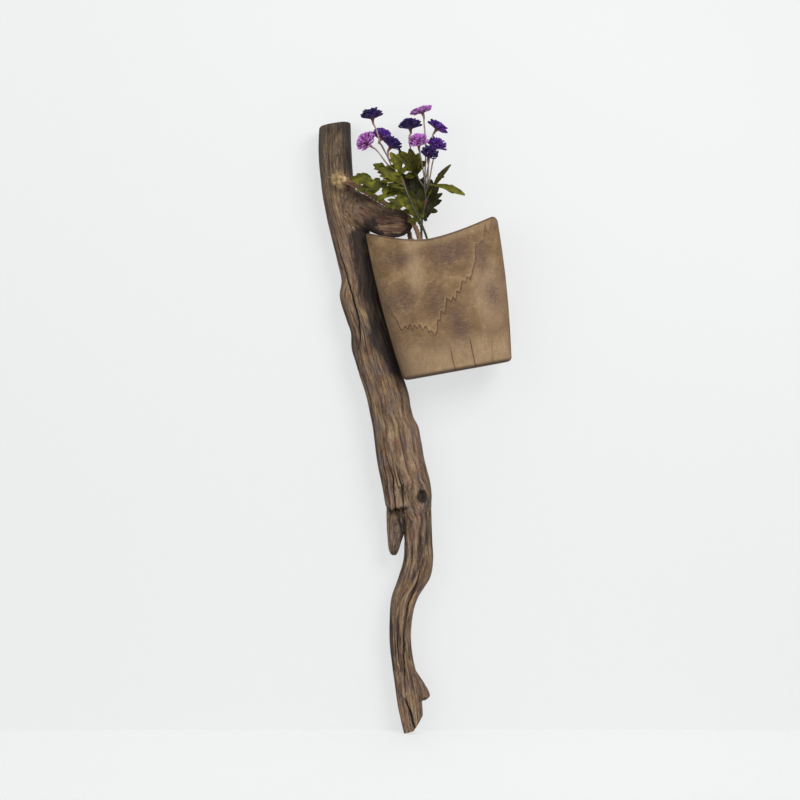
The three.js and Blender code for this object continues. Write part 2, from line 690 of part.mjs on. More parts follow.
function addHanger(label, height) {
  const [left, right] = tableAt(TRUNK, height);
  const hanger = new THREE.Group();
  hanger.position.set((left + right) / 2, 0, height);
  root.add(hanger);
  log = log.subtract(shifted(hangerPocket(), ...hanger.position.toArray()));
  piece(`hanger_strap_${label}`, hangerStrap(), STEEL, hanger);
  piece(`hanger_ring_${label}`, hangerRing(), STEEL, hanger).position.set(0, pivotBack, 0);
  hangerScrews.forEach((drop, i) => {
    const fixing = screw(HANGER_SCREW_RADIUS, HANGER_SCREW_LENGTH, HANGER_SCREW_HEAD, HANGER_SCREW_HEAD_HEIGHT, 8);
    const under = strapTop + SEAT_GAP;
    piece(`hanger_screw_${label}_${i + 1}`, fixing, STEEL, hanger).position.set(0, under, drop);
    const hole = screwHole(HANGER_SCREW_RADIUS + SEAT_GAP, HANGER_SCREW_LENGTH, 8);
    log = log.subtract(shifted(hole, hanger.position.x, under, height + drop));
  });
}

addHanger('upper', UPPER_HANGER_HEIGHT);
addHanger('lower', LOWER_HANGER_HEIGHT);

// Knot: a lump of the rope with its teased-out ends, pinned to the trunk by a nail.
function knotLump(grow) {
  const lump = new THREE.SphereGeometry(1, 10, 8);
  lump.scale(KNOT_WIDTH / 2 + grow, KNOT_DEPTH / 2 + grow, KNOT_HEIGHT / 2 + grow);
  lump.translate(...knotMiddle.toArray());
  return solidOf(lump);
}

let knot = knotLump(0);
const frayCount = 6;
for (let i = 0; i < frayCount; i += 1) {
  const angle = Math.PI * (0.42 + (1.22 * i) / (frayCount - 1));
  const way = vec(Math.cos(angle), -0.25 - 0.12 * (i % 3), Math.sin(angle)).normalize();
  const reach = KNOT_HEIGHT / 2 + FRAY_LENGTH * (0.62 + 0.19 * (i % 3));
  knot = knot.add(bar(knotMiddle, knotMiddle.clone().addScaledVector(way, reach), 4, 4, 1));
}
const nailHead = knotMiddle.y - KNOT_DEPTH / 2 - SEAT_GAP;
const nailLength = KNOT_DEPTH + NAIL_GRIP;
const nailPlace = (solid) => shifted(solid.rotate([0, 0, 180]), knotMiddle.x, nailHead, knotMiddle.z);
const nailHole = nailPlace(screwHole(NAIL_RADIUS + SEAT_GAP, nailLength, 8));
knot = knot.subtract(shifted(log, 0, -SEAT_GAP, 0)).subtract(nailHole);
log = log.subtract(nailHole);
const rope = ropeWhole.subtract(knotLump(SEAT_GAP));

piece('driftwood_log', log, WOOD_DARK);
piece('rope_knot', knot, JUTE);
piece('rope_sling', rope, JUTE);
piece('rope_nail', nailPlace(screw(NAIL_RADIUS, nailLength, NAIL_HEAD_RADIUS, 1.6, 8)), STEEL);

// Pot
let pot = potOutside.subtract(potCavity).subtract(rimCutter());
pot = pot.subtract(moved(ropeWay, worldToPot));
for (const place of screwPlaces) {
  pot = pot.subtract(moved(screwHole(SCREW_RADIUS + SEAT_GAP, SCREW_LENGTH, 10), screwMatrix(place, headSeat)));
  pot = pot.subtract(bar(place, place.clone().add(vec(POT_WALL, 0, 0)), WASHER_RADIUS + SEAT_GAP, 12));
}
piece('pot_body', pot, WOOD_PALE, potFrame);

screwPlaces.forEach((place, i) => {
  const shank = screw(SCREW_RADIUS, SCREW_LENGTH, SCREW_HEAD_RADIUS, SCREW_HEAD_HEIGHT, 10);
  const fixing = piece(`pot_screw_${i + 1}`, shank, STEEL, potFrame);
  fixing.quaternion.copy(screwTurn);
  fixing.position.copy(place).add(vec(headSeat, 0, 0));
  const disc = bar(vec(SEAT_GAP, 0, 0), vec(SEAT_GAP + WASHER_THICKNESS, 0, 0), WASHER_RADIUS, 12);
  const bore = bar(vec(-1, 0, 0), vec(SEAT_GAP + WASHER_THICKNESS + 1, 0, 0), SCREW_RADIUS + SEAT_GAP, 10);
  piece(`pot_washer_${i + 1}`, disc.subtract(bore), STEEL, potFrame).position.copy(place);
});

// Bunch: its frame is upright and stands over the low part of the rim; its foot goes down into the foam.
const bunch = new THREE.Group();
const bunchPlace = potPoint(BUNCH_OFFSET, 0, POT_HEIGHT - RIM_DIP);
bunch.position.copy(bunchPlace);
root.add(bunch);
const foamAcross = bunchPlace.x + FOOT_OFFSET - potFrame.position.x + FOAM_HEIGHT * Math.sin(POT_TILT);
const foamTop = potPoint(foamAcross / Math.cos(POT_TILT), 0, FOAM_HEIGHT).z - bunchPlace.z;
const footTop = foamTop + 6;
const footTip = foamTop - FOOT_DEPTH;

const foot = join(
  bar(vec(FOOT_OFFSET, 0, footTip + 8), vec(FOOT_OFFSET, 0, footTop), FOOT_RADIUS, 10),
  bar(vec(FOOT_OFFSET, 0, footTip), vec(FOOT_OFFSET, 0, footTip + 8), 0.8, 10, FOOT_RADIUS),
);
const footWay = bar(
  vec(FOOT_OFFSET, 0, footTip - SEAT_GAP),
  vec(FOOT_OFFSET, 0, footTop + 40),
  FOOT_RADIUS + FOOT_HOLE_GAP,
  10,
);

const foamBlock = potShell(cavityHeights, POT_WALL + FOAM_SIDE_GAP, 28).intersect(
  box(-POT_TOP_WIDTH, POT_TOP_WIDTH, -POT_TOP_DEPTH, POT_TOP_DEPTH, POT_FLOOR + SEAT_GAP, FOAM_HEIGHT),
);
const bunchToPot = worldToPot.clone().multiply(new THREE.Matrix4().makeTranslation(...bunchPlace.toArray()));
piece('floral_foam', foamBlock.subtract(moved(footWay, bunchToPot)), FOAM, potFrame);

// Main stems and branches, from the foot to each flower's base, in the bunch's frame.
const mainStems = {
  left: [
    vec(FOOT_OFFSET, 0, footTop - 8),
    vec(FOOT_OFFSET, 0, footTop),
    vec(16, -3, -55),
    vec(7, -6, -1),
    vec(-2, -12, 24),
    vec(-18.5, -21, 56.6),
    vec(-34.5, -20, 96.6),
  ],
  right: [
    vec(FOOT_OFFSET, 0, footTop - 8),
    vec(FOOT_OFFSET, 0, footTop),
    vec(9, 6, -56),
    vec(-2.5, 11, -1),
    vec(-2.5, 8, 32.6),
    vec(3.9, 4, 67.8),
  ],
};

// Each flower: middle of its head, the way it faces, its radius, its petals, and its branch from a main stem.
const FLOWERS = [
  { at: [-82.5, -1, 203.8], faces: [-0.15, -0.2, 0.97], radius: 19, petals: PETAL_NAVY,
    branch: [[-34.5, -20, 96.6], [-47.3, -17, 112.6], [-58.5, -13, 136.6], [-68.1, -8, 155], [-76, -4, 180]] },
  { at: [-92.1, -27, 157.4], faces: [-0.6, -0.6, 0.5], radius: 18, petals: PETAL_PINK,
    branch: [[-47.3, -17, 112.6], [-58, -21, 122], [-74.5, -23, 143]] },
  { at: [-66, 22, 174], faces: [0.35, 0.25, 0.9], radius: 17.5, petals: PETAL_VIOLET,
    branch: [[-63, -11, 146], [-67, 2, 155]] },
  { at: [-49, -17, 155], faces: [0.5, -0.1, 0.85], radius: 17, petals: PETAL_NAVY,
    branch: [[-54, -15, 126], [-56, -16, 136]] },
  { at: [-21.7, 11, 189.4], faces: [-0.1, -0.25, 1], radius: 19, petals: PETAL_NAVY,
    branch: [[2.2, 2, 86], [-8.9, 6, 104], [-19.6, 10, 144.6], [-23, 11, 170]] },
  { at: [-4.1, -9, 211.8], faces: [-0.3, 0, 0.95], radius: 19, petals: PETAL_PINK,
    branch: [[3.9, 4, 67.8], [2.2, 2, 86], [3.4, -4, 152.6], [0.7, -8, 190]] },
  { at: [25, 16, 187.8], faces: [0.55, 0, 0.83], radius: 18.5, petals: PETAL_VIOLET,
    branch: [[2.2, 2, 92], [9, 9, 130], [13, 14, 165]] },
  { at: [-8.9, -33, 157.4], faces: [-0.1, -0.5, 0.86], radius: 16.5, petals: PETAL_PINK,
    branch: [[2.4, 1, 95], [-2, -11, 120], [-6, -22, 138]] },
  { at: [21, -15, 154.2], faces: [0.35, -0.1, 0.93], radius: 17.5, petals: PETAL_VIOLET,
    branch: [[3.2, 3, 78], [9, -5, 97], [13.5, -11, 121.4], [16.5, -13, 136]] },
  { at: [10, -44, 137], faces: [0.25, -0.6, 0.75], radius: 15, petals: PETAL_NAVY,
    branch: [[6, -2, 86], [7, -18, 106], [7, -31, 120]] },
];

// Each leaf: where its stalk leaves a main stem or a flower's branch, where the blade starts and ends, its width.
const LEAVES = [
  { stem: 'left', share: 0.985, base: [-72.9, -19, 88.6], tip: [-117.7, -23, 99.8], width: 26 },
  { stem: 'left', share: 0.93, base: [-60.1, -30, 86], tip: [-104.9, -33, 79], width: 25 },
  { stem: 0, share: 0.16, base: [-54, -7, 105], tip: [-80, 3, 126], width: 20 },
  { stem: 'left', share: 0.96, base: [-40, -31, 91], tip: [-70, -39, 113], width: 25 },
  { stem: 0, share: 0.07, base: [-36, -30, 106], tip: [-52, -38, 138], width: 22 },
  { stem: 4, share: 0.2, base: [-13, -3, 108], tip: [-38, -16, 143], width: 29 },
  { stem: 'right', share: 0.99, base: [14, 8, 86], tip: [43, 6, 125], width: 17 },
  { stem: 8, share: 0.2, base: [20, -9, 89], tip: [65, -20, 74], width: 24 },
  { stem: 'right', share: 0.93, base: [-9, 14, 72], tip: [-46, 20, 97], width: 30 },
  { stem: 'right', share: 0.84, base: [7, 14, 50], tip: [20, 20, 84], width: 26 },
  { stem: 'left', share: 0.76, base: [-26, -31, 59], tip: [-58.5, -42, 53], width: 22 },
  { stem: 'left', share: 0.82, base: [-50, -33, 70], tip: [-80, -38, 62], width: 17 },
  { stem: 'right', share: 0.74, base: [-9, 3, 36], tip: [-33, -4, 74], width: 27 },
  { stem: 'left', share: 0.86, base: [-33, -12, 76], tip: [-66, -4, 86], width: 24 },
];

const straightTo = (flower) => {
  const way = vec(...flower.faces).normalize();
  const base = vec(...flower.at).addScaledVector(way, -HEAD_HEIGHT / 2);
  return { way, base };
};

const branches = FLOWERS.map((flower) => {
  const { way, base } = straightTo(flower);
  return [...flower.branch.map((p) => vec(...p)), base.clone().addScaledVector(way, -NECK_LENGTH), base];
});
const stemCurve = (key) => new THREE.CatmullRomCurve3(key in mainStems ? mainStems[key] : branches[key]);

let stems = join(foot, tube(mainStems.left, STEM_RADIUS, 6, 11), tube(mainStems.right, STEM_RADIUS, 6, 10));
branches.forEach((branch, i) => {
  const { way, base } = straightTo(FLOWERS[i]);
  const neck = base.clone().addScaledVector(way, -NECK_LENGTH / 2);
  const reach = new THREE.CatmullRomCurve3(branch).getLength();
  stems = join(
    stems,
    tube(branch, BRANCH_RADIUS, 5, Math.ceil(reach / 30)),
    bar(neck, base.clone().addScaledVector(way, PEG_LENGTH), PEG_RADIUS, 5),
  );
});

// A petal: a kite with a blunt tip and a keel under its widest part, rooted inside the head.
function petal(root, widest, tip, width, angle) {
  const turn = new THREE.Matrix4().makeRotationZ(angle);
  const corners = [
    vec(root[0], 0, root[1]),
    vec(widest[0], -width / 2, widest[1]),
    vec(widest[0], width / 2, widest[1]),
    vec(tip[0], -width / 4, tip[1]),
    vec(tip[0], width / 4, tip[1]),
    vec(widest[0], 0, widest[1] - PETAL_THICKNESS),
  ].map((corner) => corner.applyMatrix4(turn));
  const geometry = new THREE.BufferGeometry();
  geometry.setAttribute('position', new THREE.Float32BufferAttribute(corners.flatMap((p) => p.toArray()), 3));
  geometry.setIndex([0, 1, 2, 1, 3, 4, 1, 4, 2, 1, 0, 5, 3, 1, 5, 4, 3, 5, 2, 4, 5, 0, 2, 5]);
  return solidOf(geometry);
}

// A flower head in its own frame: base at the origin, facing +Z. Its calyx has a blind hole for the branch's peg.
function flowerHead(radius, twist) {
  const sleeveRadius = PEG_RADIUS + PEG_GAP + SLEEVE_WALL;
  let head = join(
    bar(vec(0, 0, SEAT_GAP), vec(0, 0, CALYX_HEIGHT), sleeveRadius, 5, CALYX_RADIUS),
    bar(vec(0, 0, CALYX_HEIGHT - 1), vec(0, 0, 0.8 * HEAD_HEIGHT), 0.8 * CALYX_RADIUS, 5, 0.5 * CALYX_RADIUS),
  );
  for (let i = 0; i < OUTER_PETALS; i += 1) {
    const angle = twist + (2 * Math.PI * i) / OUTER_PETALS;
    const [low, high] = [0.38 * HEAD_HEIGHT, (0.56 + 0.05 * (i % 2)) * HEAD_HEIGHT];
    head = head.add(petal([1.5, low], [0.72 * radius, high], [radius, high - 1.5], 0.58 * radius, angle));
  }
  for (let i = 0; i < INNER_PETALS; i += 1) {
    const angle = twist + (2 * Math.PI * (i + 0.5)) / INNER_PETALS;
    const [low, high] = [0.6 * HEAD_HEIGHT, 0.9 * HEAD_HEIGHT];
    head = head.add(petal([1, low], [0.46 * radius, high], [0.68 * radius, HEAD_HEIGHT], 0.5 * radius, angle));
  }
  const bore = bar(vec(0, 0, -1), vec(0, 0, PEG_LENGTH + PEG_GAP), PEG_RADIUS + PEG_GAP, 5);
  return head.subtract(bore);
}

FLOWERS.forEach((flower, i) => {
  const { way, base } = straightTo(flower);
  const head = piece(`flower_${i + 1}`, flowerHead(flower.radius, 0.7 * i), flower.petals, bunch);
  head.position.copy(base);
  head.quaternion.setFromUnitVectors(Z_AXIS, way);
});

// A lobed leaf with its stalk. The stalk ends in a sleeve that slips over a peg on the stem.
const LOBES = [[0, 0.1], [0.22, 0.74], [0.36, 0.42], [0.55, 1], [0.72, 0.46], [1, 0.05]];

LEAVES.forEach((leaf, i) => {
  const curve = stemCurve(leaf.stem);
  const joint = curve.getPointAt(leaf.share);
  const stemRadius = typeof leaf.stem === 'string' ? STEM_RADIUS : BRANCH_RADIUS;
  const [base, tip] = [vec(...leaf.base), vec(...leaf.tip)];
  const way = base.clone().sub(joint).normalize();
  const lean = Math.abs(curve.getTangentAt(leaf.share).dot(way));
  const sleeveRadius = PEG_RADIUS + PEG_GAP + SLEEVE_WALL;
  const clearOfStem = (stemRadius + 2 * PEG_GAP + sleeveRadius * lean) / Math.sqrt(1 - lean ** 2);
  const at = (distance) => joint.clone().addScaledVector(way, clearOfStem + distance);
  stems = stems.add(bar(joint, at(PEG_LENGTH), PEG_RADIUS, 5));

  const along = tip.clone().sub(base);
  const face = vec(0, -0.86, 0.5);
  const side = along.clone().cross(face).normalize();
  const normal = side.clone().cross(along).normalize();
  const sections = LOBES.map(([share, spread]) => {
    const spine = base.clone().addScaledVector(along, share);
    spine.addScaledVector(normal, 5 * Math.sin(Math.PI * share));
    const half = (spread * leaf.width) / 2;
    return [
      spine.clone().addScaledVector(side, -half).addScaledVector(normal, 0.25 * half),
      spine.clone().addScaledVector(normal, LEAF_THICKNESS / 2),
      spine.clone().addScaledVector(side, half).addScaledVector(normal, 0.25 * half),
      spine.clone().addScaledVector(normal, -LEAF_THICKNESS / 2),
    ];
  });
  const stalk = bar(at(0), base.clone().addScaledVector(way, 5), sleeveRadius, 5, 0.7);
  const bore = bar(at(-1), at(PEG_LENGTH + PEG_GAP), PEG_RADIUS + PEG_GAP, 5);
  piece(`leaf_${i + 1}`, loft(sections).add(stalk).subtract(bore), LEAF, bunch);
});

piece('bunch_stem', stems, STEM, bunch);

export default root;
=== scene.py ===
"""Looks of the wall planter: weathered log, hollowed wooden pot, jute rope, artificial flowers and hangers.

Shapes are worked out in millimetres in the part's own frame (+Z up, front towards -Y) and stored in metres.
"""

import math

import bmesh
import bpy
import numpy as np
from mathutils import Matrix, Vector


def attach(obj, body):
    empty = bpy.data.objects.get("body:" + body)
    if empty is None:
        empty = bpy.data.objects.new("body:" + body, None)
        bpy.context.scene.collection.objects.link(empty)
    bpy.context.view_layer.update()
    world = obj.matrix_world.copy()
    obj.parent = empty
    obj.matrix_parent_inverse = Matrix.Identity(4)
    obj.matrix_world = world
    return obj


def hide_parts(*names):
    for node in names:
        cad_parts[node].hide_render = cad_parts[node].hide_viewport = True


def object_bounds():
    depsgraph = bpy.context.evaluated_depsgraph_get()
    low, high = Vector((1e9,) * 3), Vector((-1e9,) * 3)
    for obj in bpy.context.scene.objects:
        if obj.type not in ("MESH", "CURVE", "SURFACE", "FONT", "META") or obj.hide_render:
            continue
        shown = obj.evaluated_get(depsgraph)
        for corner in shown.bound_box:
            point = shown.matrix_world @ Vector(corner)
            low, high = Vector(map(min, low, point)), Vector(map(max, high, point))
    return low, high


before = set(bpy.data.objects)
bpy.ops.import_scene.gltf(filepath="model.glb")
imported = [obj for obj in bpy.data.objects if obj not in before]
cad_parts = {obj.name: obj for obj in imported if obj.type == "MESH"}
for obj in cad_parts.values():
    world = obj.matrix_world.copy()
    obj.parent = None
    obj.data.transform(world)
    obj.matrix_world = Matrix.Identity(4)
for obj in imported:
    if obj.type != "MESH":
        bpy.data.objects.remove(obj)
cad_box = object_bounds()
MM = 0.001
TURN = 2 * math.pi
random = np.random.default_rng(11)


# Numbers

HASH_PRIMES = (73856093, 19349663, 83492791)
HASHED = np.random.default_rng(5).random(65536) * 2 - 1


def noise(points):
    """Smooth noise from -1 to 1 at each point."""
    low = np.floor(points).astype(np.int64)
    part = points - low
    part = part ** 3 * (part * (part * 6 - 15) + 10)
    total = np.zeros(len(points))
    for corner in np.ndindex(2, 2, 2):
        weight = np.ones(len(points))
        key = np.zeros(len(points), np.int64)
        for axis, (step, prime) in enumerate(zip(corner, HASH_PRIMES)):
            weight *= part[:, axis] if step else 1 - part[:, axis]
            key ^= (low[:, axis] + step) * prime
        total += weight * HASHED[key & (len(HASHED) - 1)]
    return total


def noise_at(*parts):
    """Noise at three coordinates, any of which may be one number."""
    return noise(np.stack(np.broadcast_arrays(*parts), axis=1).astype(float))


def layered(points, layers):
    """Noise in finer and finer layers."""
    return sum(noise(points * 2 ** k + 17.3 * k) / 2 ** k for k in range(layers)) / 1.75


def ridges(points):
    """1 along thin lines of the noise, falling to 0 between them."""
    return 1 - np.clip(np.abs(noise(points)) * 2.2, 0, 1)


def smooth_step(low, high, value):
    """0 at low and 1 at high with soft ends; low may be the larger number."""
    share = np.clip((value - low) / (high - low), 0, 1)
    return share * share * (3 - 2 * share)


def bell(value, middle, width):
    """1 in the middle, falling to 0 on both sides."""
    return np.exp(-((value - middle) / width) ** 2)


def spread(spots, middle, size, fade=1.0):
    """1 at a spot, falling to 0 all round it."""
    return np.exp(-(((spots - middle) / size) ** 2).sum(1) * fade)


def unit(vectors):
    """Vectors at length 1."""
    vectors = np.asarray(vectors, float)
    return vectors / np.maximum(np.linalg.norm(vectors, axis=-1, keepdims=True), 1e-9)


def run_of(path):
    """Length of a path up to each of its points."""
    return np.concatenate([[0], np.cumsum(np.linalg.norm(np.diff(path, axis=0), axis=1))])


def turned(points, way, about):
    """Points whose +Z is turned to the direction given, then moved."""
    turn = np.array(Vector((0, 0, 1)).rotation_difference(Vector(way)).to_matrix())
    return points @ turn.T + np.asarray(about, float)


def spun(points, angle):
    """Points turned round +Z."""
    cosine, sine = math.cos(angle), math.sin(angle)
    return points @ np.array([[cosine, sine, 0], [-sine, cosine, 0], [0, 0, 1]])


def hermite(t, start, end, leaving, arriving):
    """A smooth way from one value to the next, with the slope at each."""
    return ((2 * t ** 3 - 3 * t ** 2 + 1) * start + (t ** 3 - 2 * t ** 2 + t) * leaving
            + (3 * t ** 2 - 2 * t ** 3) * end + (t ** 3 - t ** 2) * arriving)


def table_at(rows, heights):
    """Smooth values between the rows of a table whose first column is the height, highest row first."""
    rows = np.asarray(rows, float)
    heights = np.atleast_1d(np.asarray(heights, float))
    at, values = rows[:, 0], rows[:, 1:]
    number = np.arange(len(at))
    before, after = np.maximum(number - 1, 0), np.minimum(number + 1, len(at) - 1)
    slopes = (values[after] - values[before]) / (at[after] - at[before])[:, None]
    k = np.clip(np.searchsorted(-at, -heights), 1, len(at) - 1)
    span = (at[k] - at[k - 1])[:, None]
    t = np.clip((heights - at[k - 1]) / span[:, 0], 0, 1)[:, None]
    return hermite(t, values[k - 1], values[k], slopes[k - 1] * span, slopes[k] * span)


class Curve:
    """A smooth curve through points, measured by its length."""

    def __init__(self, points):
        points = np.asarray(points, float)
        full = np.vstack([2 * points[0] - points[1], points, 2 * points[-1] - points[-2]])
        dense = []
        for a, b, c, d in zip(full, full[1:], full[2:], full[3:]):
            u, v, w = (max(np.linalg.norm(q - p) ** 0.5, 1e-4) for p, q in ((a, b), (b, c), (c, d)))
            leaving = v * ((b - a) / u - (c - a) / (u + v) + (c - b) / v)
            arriving = v * ((c - b) / v - (d - b) / (v + w) + (d - c) / w)
            dense.append(hermite(np.linspace(0, 1, 24, endpoint=False)[:, None], b, c, leaving, arriving))
        self.dense = np.vstack([*dense, points[-1:]])
        self.run = run_of(self.dense)
        self.length = self.run[-1]

    def at(self, shares):
        """Points at shares of the length."""
        where = np.atleast_1d(shares) * self.length
        return np.stack([np.interp(where, self.run, self.dense[:, k]) for k in range(3)], axis=1)

    def points(self, count):
        return self.at(np.linspace(0, 1, count))

    def way(self, share):
        return unit(self.at(min(share + 0.004, 1)) - self.at(max(share - 0.004, 0)))[0]


# Meshes

def around(count):
    """Angles evenly spaced round a circle."""
    return np.linspace(0, TURN, count, endpoint=False)


def hoop(radius, height, angle):
    """Points round +Z at one height; the radius may differ from angle to angle."""
    level = np.full(len(angle), float(height))
    return np.stack([radius * np.cos(angle), radius * np.sin(angle), level], axis=1)


def sides_of(path):
    """Two directions across a path at each of its points, without twist."""
    ways = unit(np.gradient(path, axis=0))
    start = np.array([0.0, 0, 1]) if abs(ways[0][2]) < 0.9 else np.array([1.0, 0, 0])
    first = []
    for way in ways:
        start = start - way * start.dot(way)
        start /= np.linalg.norm(start)
        first.append(start)
    first = np.array(first)
    return first, np.cross(ways, first)


def grid_faces(rows, columns):
    """Quads over rows of points, each row closed to a ring."""
    faces = []
    for low in range(0, (rows - 1) * columns, columns):
        for c in range(columns):
            d = (c + 1) % columns
            faces.append((low + c, low + d, low + columns + d, low + columns + c))
    return faces


def loft(rings):
    """A closed skin over rings of points with a fan over each end."""
    rings = np.asarray(rings, float)
    count, sides = rings.shape[:2]
    points = np.vstack([rings.reshape(-1, 3), rings[0].mean(0), rings[-1].mean(0)])
    faces = grid_faces(count, sides)
    first, last, base = count * sides, count * sides + 1, (count - 1) * sides
    for c in range(sides):
        d = (c + 1) % sides
        faces.append((first, d, c))
        faces.append((last, base + c, base + d))
    return points, faces


def sweep(path, radius, sides):
    """A round tube along a path; the radius may be one number or one for each point."""
    path = np.asarray(path, float)
    radius = np.broadcast_to(np.asarray(radius, float), (len(path),))
    across, up = sides_of(path)
    cosine, sine = (part(around(sides))[None, :, None] for part in (np.cos, np.sin))
    return loft(path[:, None] + radius[:, None, None] * (across[:, None] * cosine + up[:, None] * sine))


def lathe(profile, sides):
    """A closed solid turned round +Z from (radius, height) pairs."""
    angle = around(sides)
    return loft([hoop(radius, height, angle) for radius, height in profile])


def lathed_ring(profile, sides):
    """A ring turned round +Z from a closed profile of (radius, height) pairs."""
    points, faces = lathe(profile, sides)
    last = (len(profile) - 1) * sides
    quads = [face for face in faces if len(face) == 4]
    quads += [(last + k, last + (k + 1) % sides, (k + 1) % sides, k) for k in range(sides)]
    return points[:-2], quads


def thin_skin(rows, across, own):
    """A closed thin skin over rows of (share along, upper points, lower points), and its marks."""
    rings = [np.vstack([above, below[::-1][1:-1]]) for _, above, below in rows]
    edge = np.concatenate([across, across[::-1][1:-1]])
    marks = []
    for share, _, _ in rows:
        marks.append(np.stack([np.full(len(edge), share), edge, np.full(len(edge), own)], axis=1))
    return loft(rings), np.vstack([*marks, [[0, 0, own], [1, 0, own]]])


def block(low, high):
    """A box between two corners."""
    corners = [[(low, high)[i][0], (low, high)[j][1], (low, high)[k][2]] for i, j, k in np.ndindex(2, 2, 2)]
    faces = [(0, 1, 3, 2), (4, 6, 7, 5), (0, 4, 5, 1), (2, 3, 7, 6), (0, 2, 6, 4), (1, 5, 7, 3)]
    return np.array(corners, float), faces


def placed(solid, way, about):
    """A solid turned from +Z to the direction given, then moved."""
    points, faces = solid
    return turned(points, way, about), faces


def beyond(point, normal):
    """A large block on one side of a plane."""
    size = 400
    return placed(block((-size, -size, 0), (size, size, size)), unit(normal), point)


class Shape:
    """Points and faces gathered from several solids, with named values on the points."""

    def __init__(self, *solids):
        self.points, self.faces, self.slots, self.values, self.count = [], [], [], {}, 0
        for solid in solids:
            self.add(solid)

    def add(self, solid, slot=0, **values):
        """Gathers a solid; a value is given once or for each of its points."""
        points, faces = solid
        self.points.append(np.asarray(points, float))
        self.faces += [tuple(i + self.count for i in face) for face in faces]
        self.slots += [slot] * len(faces)
        for name, value in values.items():
            value = np.asarray(value, float)
            if value.ndim == 0 or value.shape == (3,):
                value = np.broadcast_to(value, (len(points), *value.shape))
            self.values.setdefault(name, []).append(value)
        self.count += len(points)

    def mesh(self, name):
        """One mesh of all that was gathered, with its faces turned outwards."""
        mesh = bpy.data.meshes.new(name)
        mesh.from_pydata((np.vstack(self.points) * MM).tolist(), [], self.faces)
        mesh.polygons.foreach_set("material_index", self.slots)
        fix = bmesh.new()
        fix.from_mesh(mesh)
        bmesh.ops.recalc_face_normals(fix, faces=fix.faces)
        fix.to_mesh(mesh)
        fix.free()
        put(mesh, {key: np.concatenate(parts) for key, parts in self.values.items()})
        mesh.update()
        return mesh

    def piece(self, node, materials, body, slot, sharp):
        """The gathered solids as one finished piece."""
        piece(node, self.mesh(f"{node}_visual"), materials, body, sharp)


def put(mesh, values):
    """Named values on the mesh's points, which its material reads."""
    for name, value in values.items():
        kind, field = ("FLOAT", "value") if value.ndim == 1 else ("FLOAT_VECTOR", "vector")
        layer = mesh.attributes.new(name, kind, "POINT")
        layer.data.foreach_set(field, value.astype(np.float32).ravel())


def linked(name, data):
    """A new object in the scene."""
    made = bpy.data.objects.new(name, data)
    bpy.context.scene.collection.objects.link(made)
    return made


def piece(node, mesh, materials, body, sharp):
    """A finished piece that rides on its body and stands for a CAD node."""
    for material in materials:
        mesh.materials.append(material)
    mesh.shade_smooth()
    mesh.set_sharp_from_angle(angle=math.radians(sharp))
    made = linked(f"{node}_visual", mesh)
    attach(made, body)
    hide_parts(node)


def read(mesh, field):
    """A field of three numbers at each point of a mesh."""
    values = np.empty(len(mesh.vertices) * 3, np.float32)
    mesh.vertices.foreach_get(field, values)
    return values.reshape(-1, 3).astype(float)


def points_of(mesh):
    """A mesh's points in millimetres."""
    return read(mesh, "co") / MM


def solid_of(mesh):
    """A mesh's points and faces."""
    return points_of(mesh), [tuple(face.vertices) for face in mesh.polygons]


def modified(mesh, *steps):
    """The mesh after modifiers, each given as (type, settings)."""
    worker = linked("worker", mesh)
    for kind, settings in steps:
        modifier = worker.modifiers.new(kind, kind)
        for key, value in settings.items():
            setattr(modifier, key, value)
    graph = bpy.context.evaluated_depsgraph_get()
    result = bpy.data.meshes.new_from_object(worker.evaluated_get(graph))
    bpy.data.objects.remove(worker)
    result.materials.clear()
    return result


def carved(mesh, *solids):
    """The mesh with closed solids taken out of it, all in one cut."""
    tool = linked("cutter", Shape(*solids).mesh("cutter"))
    result = modified(mesh, ("BOOLEAN", {"operation": "DIFFERENCE", "object": tool, "solver": "MANIFOLD"}))
    bpy.data.objects.remove(tool)
    return result


# Materials

def srgb(red, green, blue):
    """A colour from 0 to 255 as the renderer's linear one."""
    parts = [c / 255 for c in (red, green, blue)]
    return [*[c / 12.92 if c <= 0.04045 else ((c + 0.055) / 1.055) ** 2.4 for c in parts], 1]


def shaded(color, share):
    """A share of a colour from 0 to 255."""
    return tuple(c * share for c in color)


class Tree:
    """Shader nodes; each method adds some and gives their output."""

    def __init__(self, owner):
        owner.use_nodes = True
        self.tree = owner.node_tree
        self.tree.nodes.clear()

    def node(self, kind, *inputs, **settings):
        """A node with its first inputs joined or set."""
        added = self.tree.nodes.new("ShaderNode" + kind)
        for key, value in settings.items():
            setattr(added, key, value)
        for source, target in zip(inputs, added.inputs):
            self.join(source, target)
        return added

    def join(self, source, target):
        """Joins an output to an input, or sets the input to a number, colour or vector."""
        if hasattr(source, "is_output"):
            self.tree.links.new(source, target)
        else:
            target.default_value = source

    def math(self, kind, *sources):
        return self.node("Math", *sources, operation=kind).outputs[0]

    def times(self, first, second):
        return self.math("MULTIPLY", first, second)

    def plus(self, first, second):
        return self.math("ADD", first, second)

    def minus(self, first, second):
        return self.math("SUBTRACT", first, second)

    def largest(self, first, *others):
        for other in others:
            first = self.math("MAXIMUM", first, other)
        return first

    def size(self, source):
        return self.math("ABSOLUTE", source)

    def fit(self, source, low, high, to_low=0.0, to_high=1.0):
        """The source's range mapped to another with soft ends."""
        inputs = (source, low, high, to_low, to_high)
        return self.node("MapRange", *inputs, interpolation_type="SMOOTHSTEP").outputs[0]

    def place(self):
        return self.node("TexCoord").outputs["Object"]

    def seen(self):
        """1 for rays from the camera, also by way of a mirror or glass."""
        path = self.node("LightPath").outputs
        return self.largest(path["Is Camera Ray"], path["Is Glossy Ray"], path["Is Transmission Ray"])


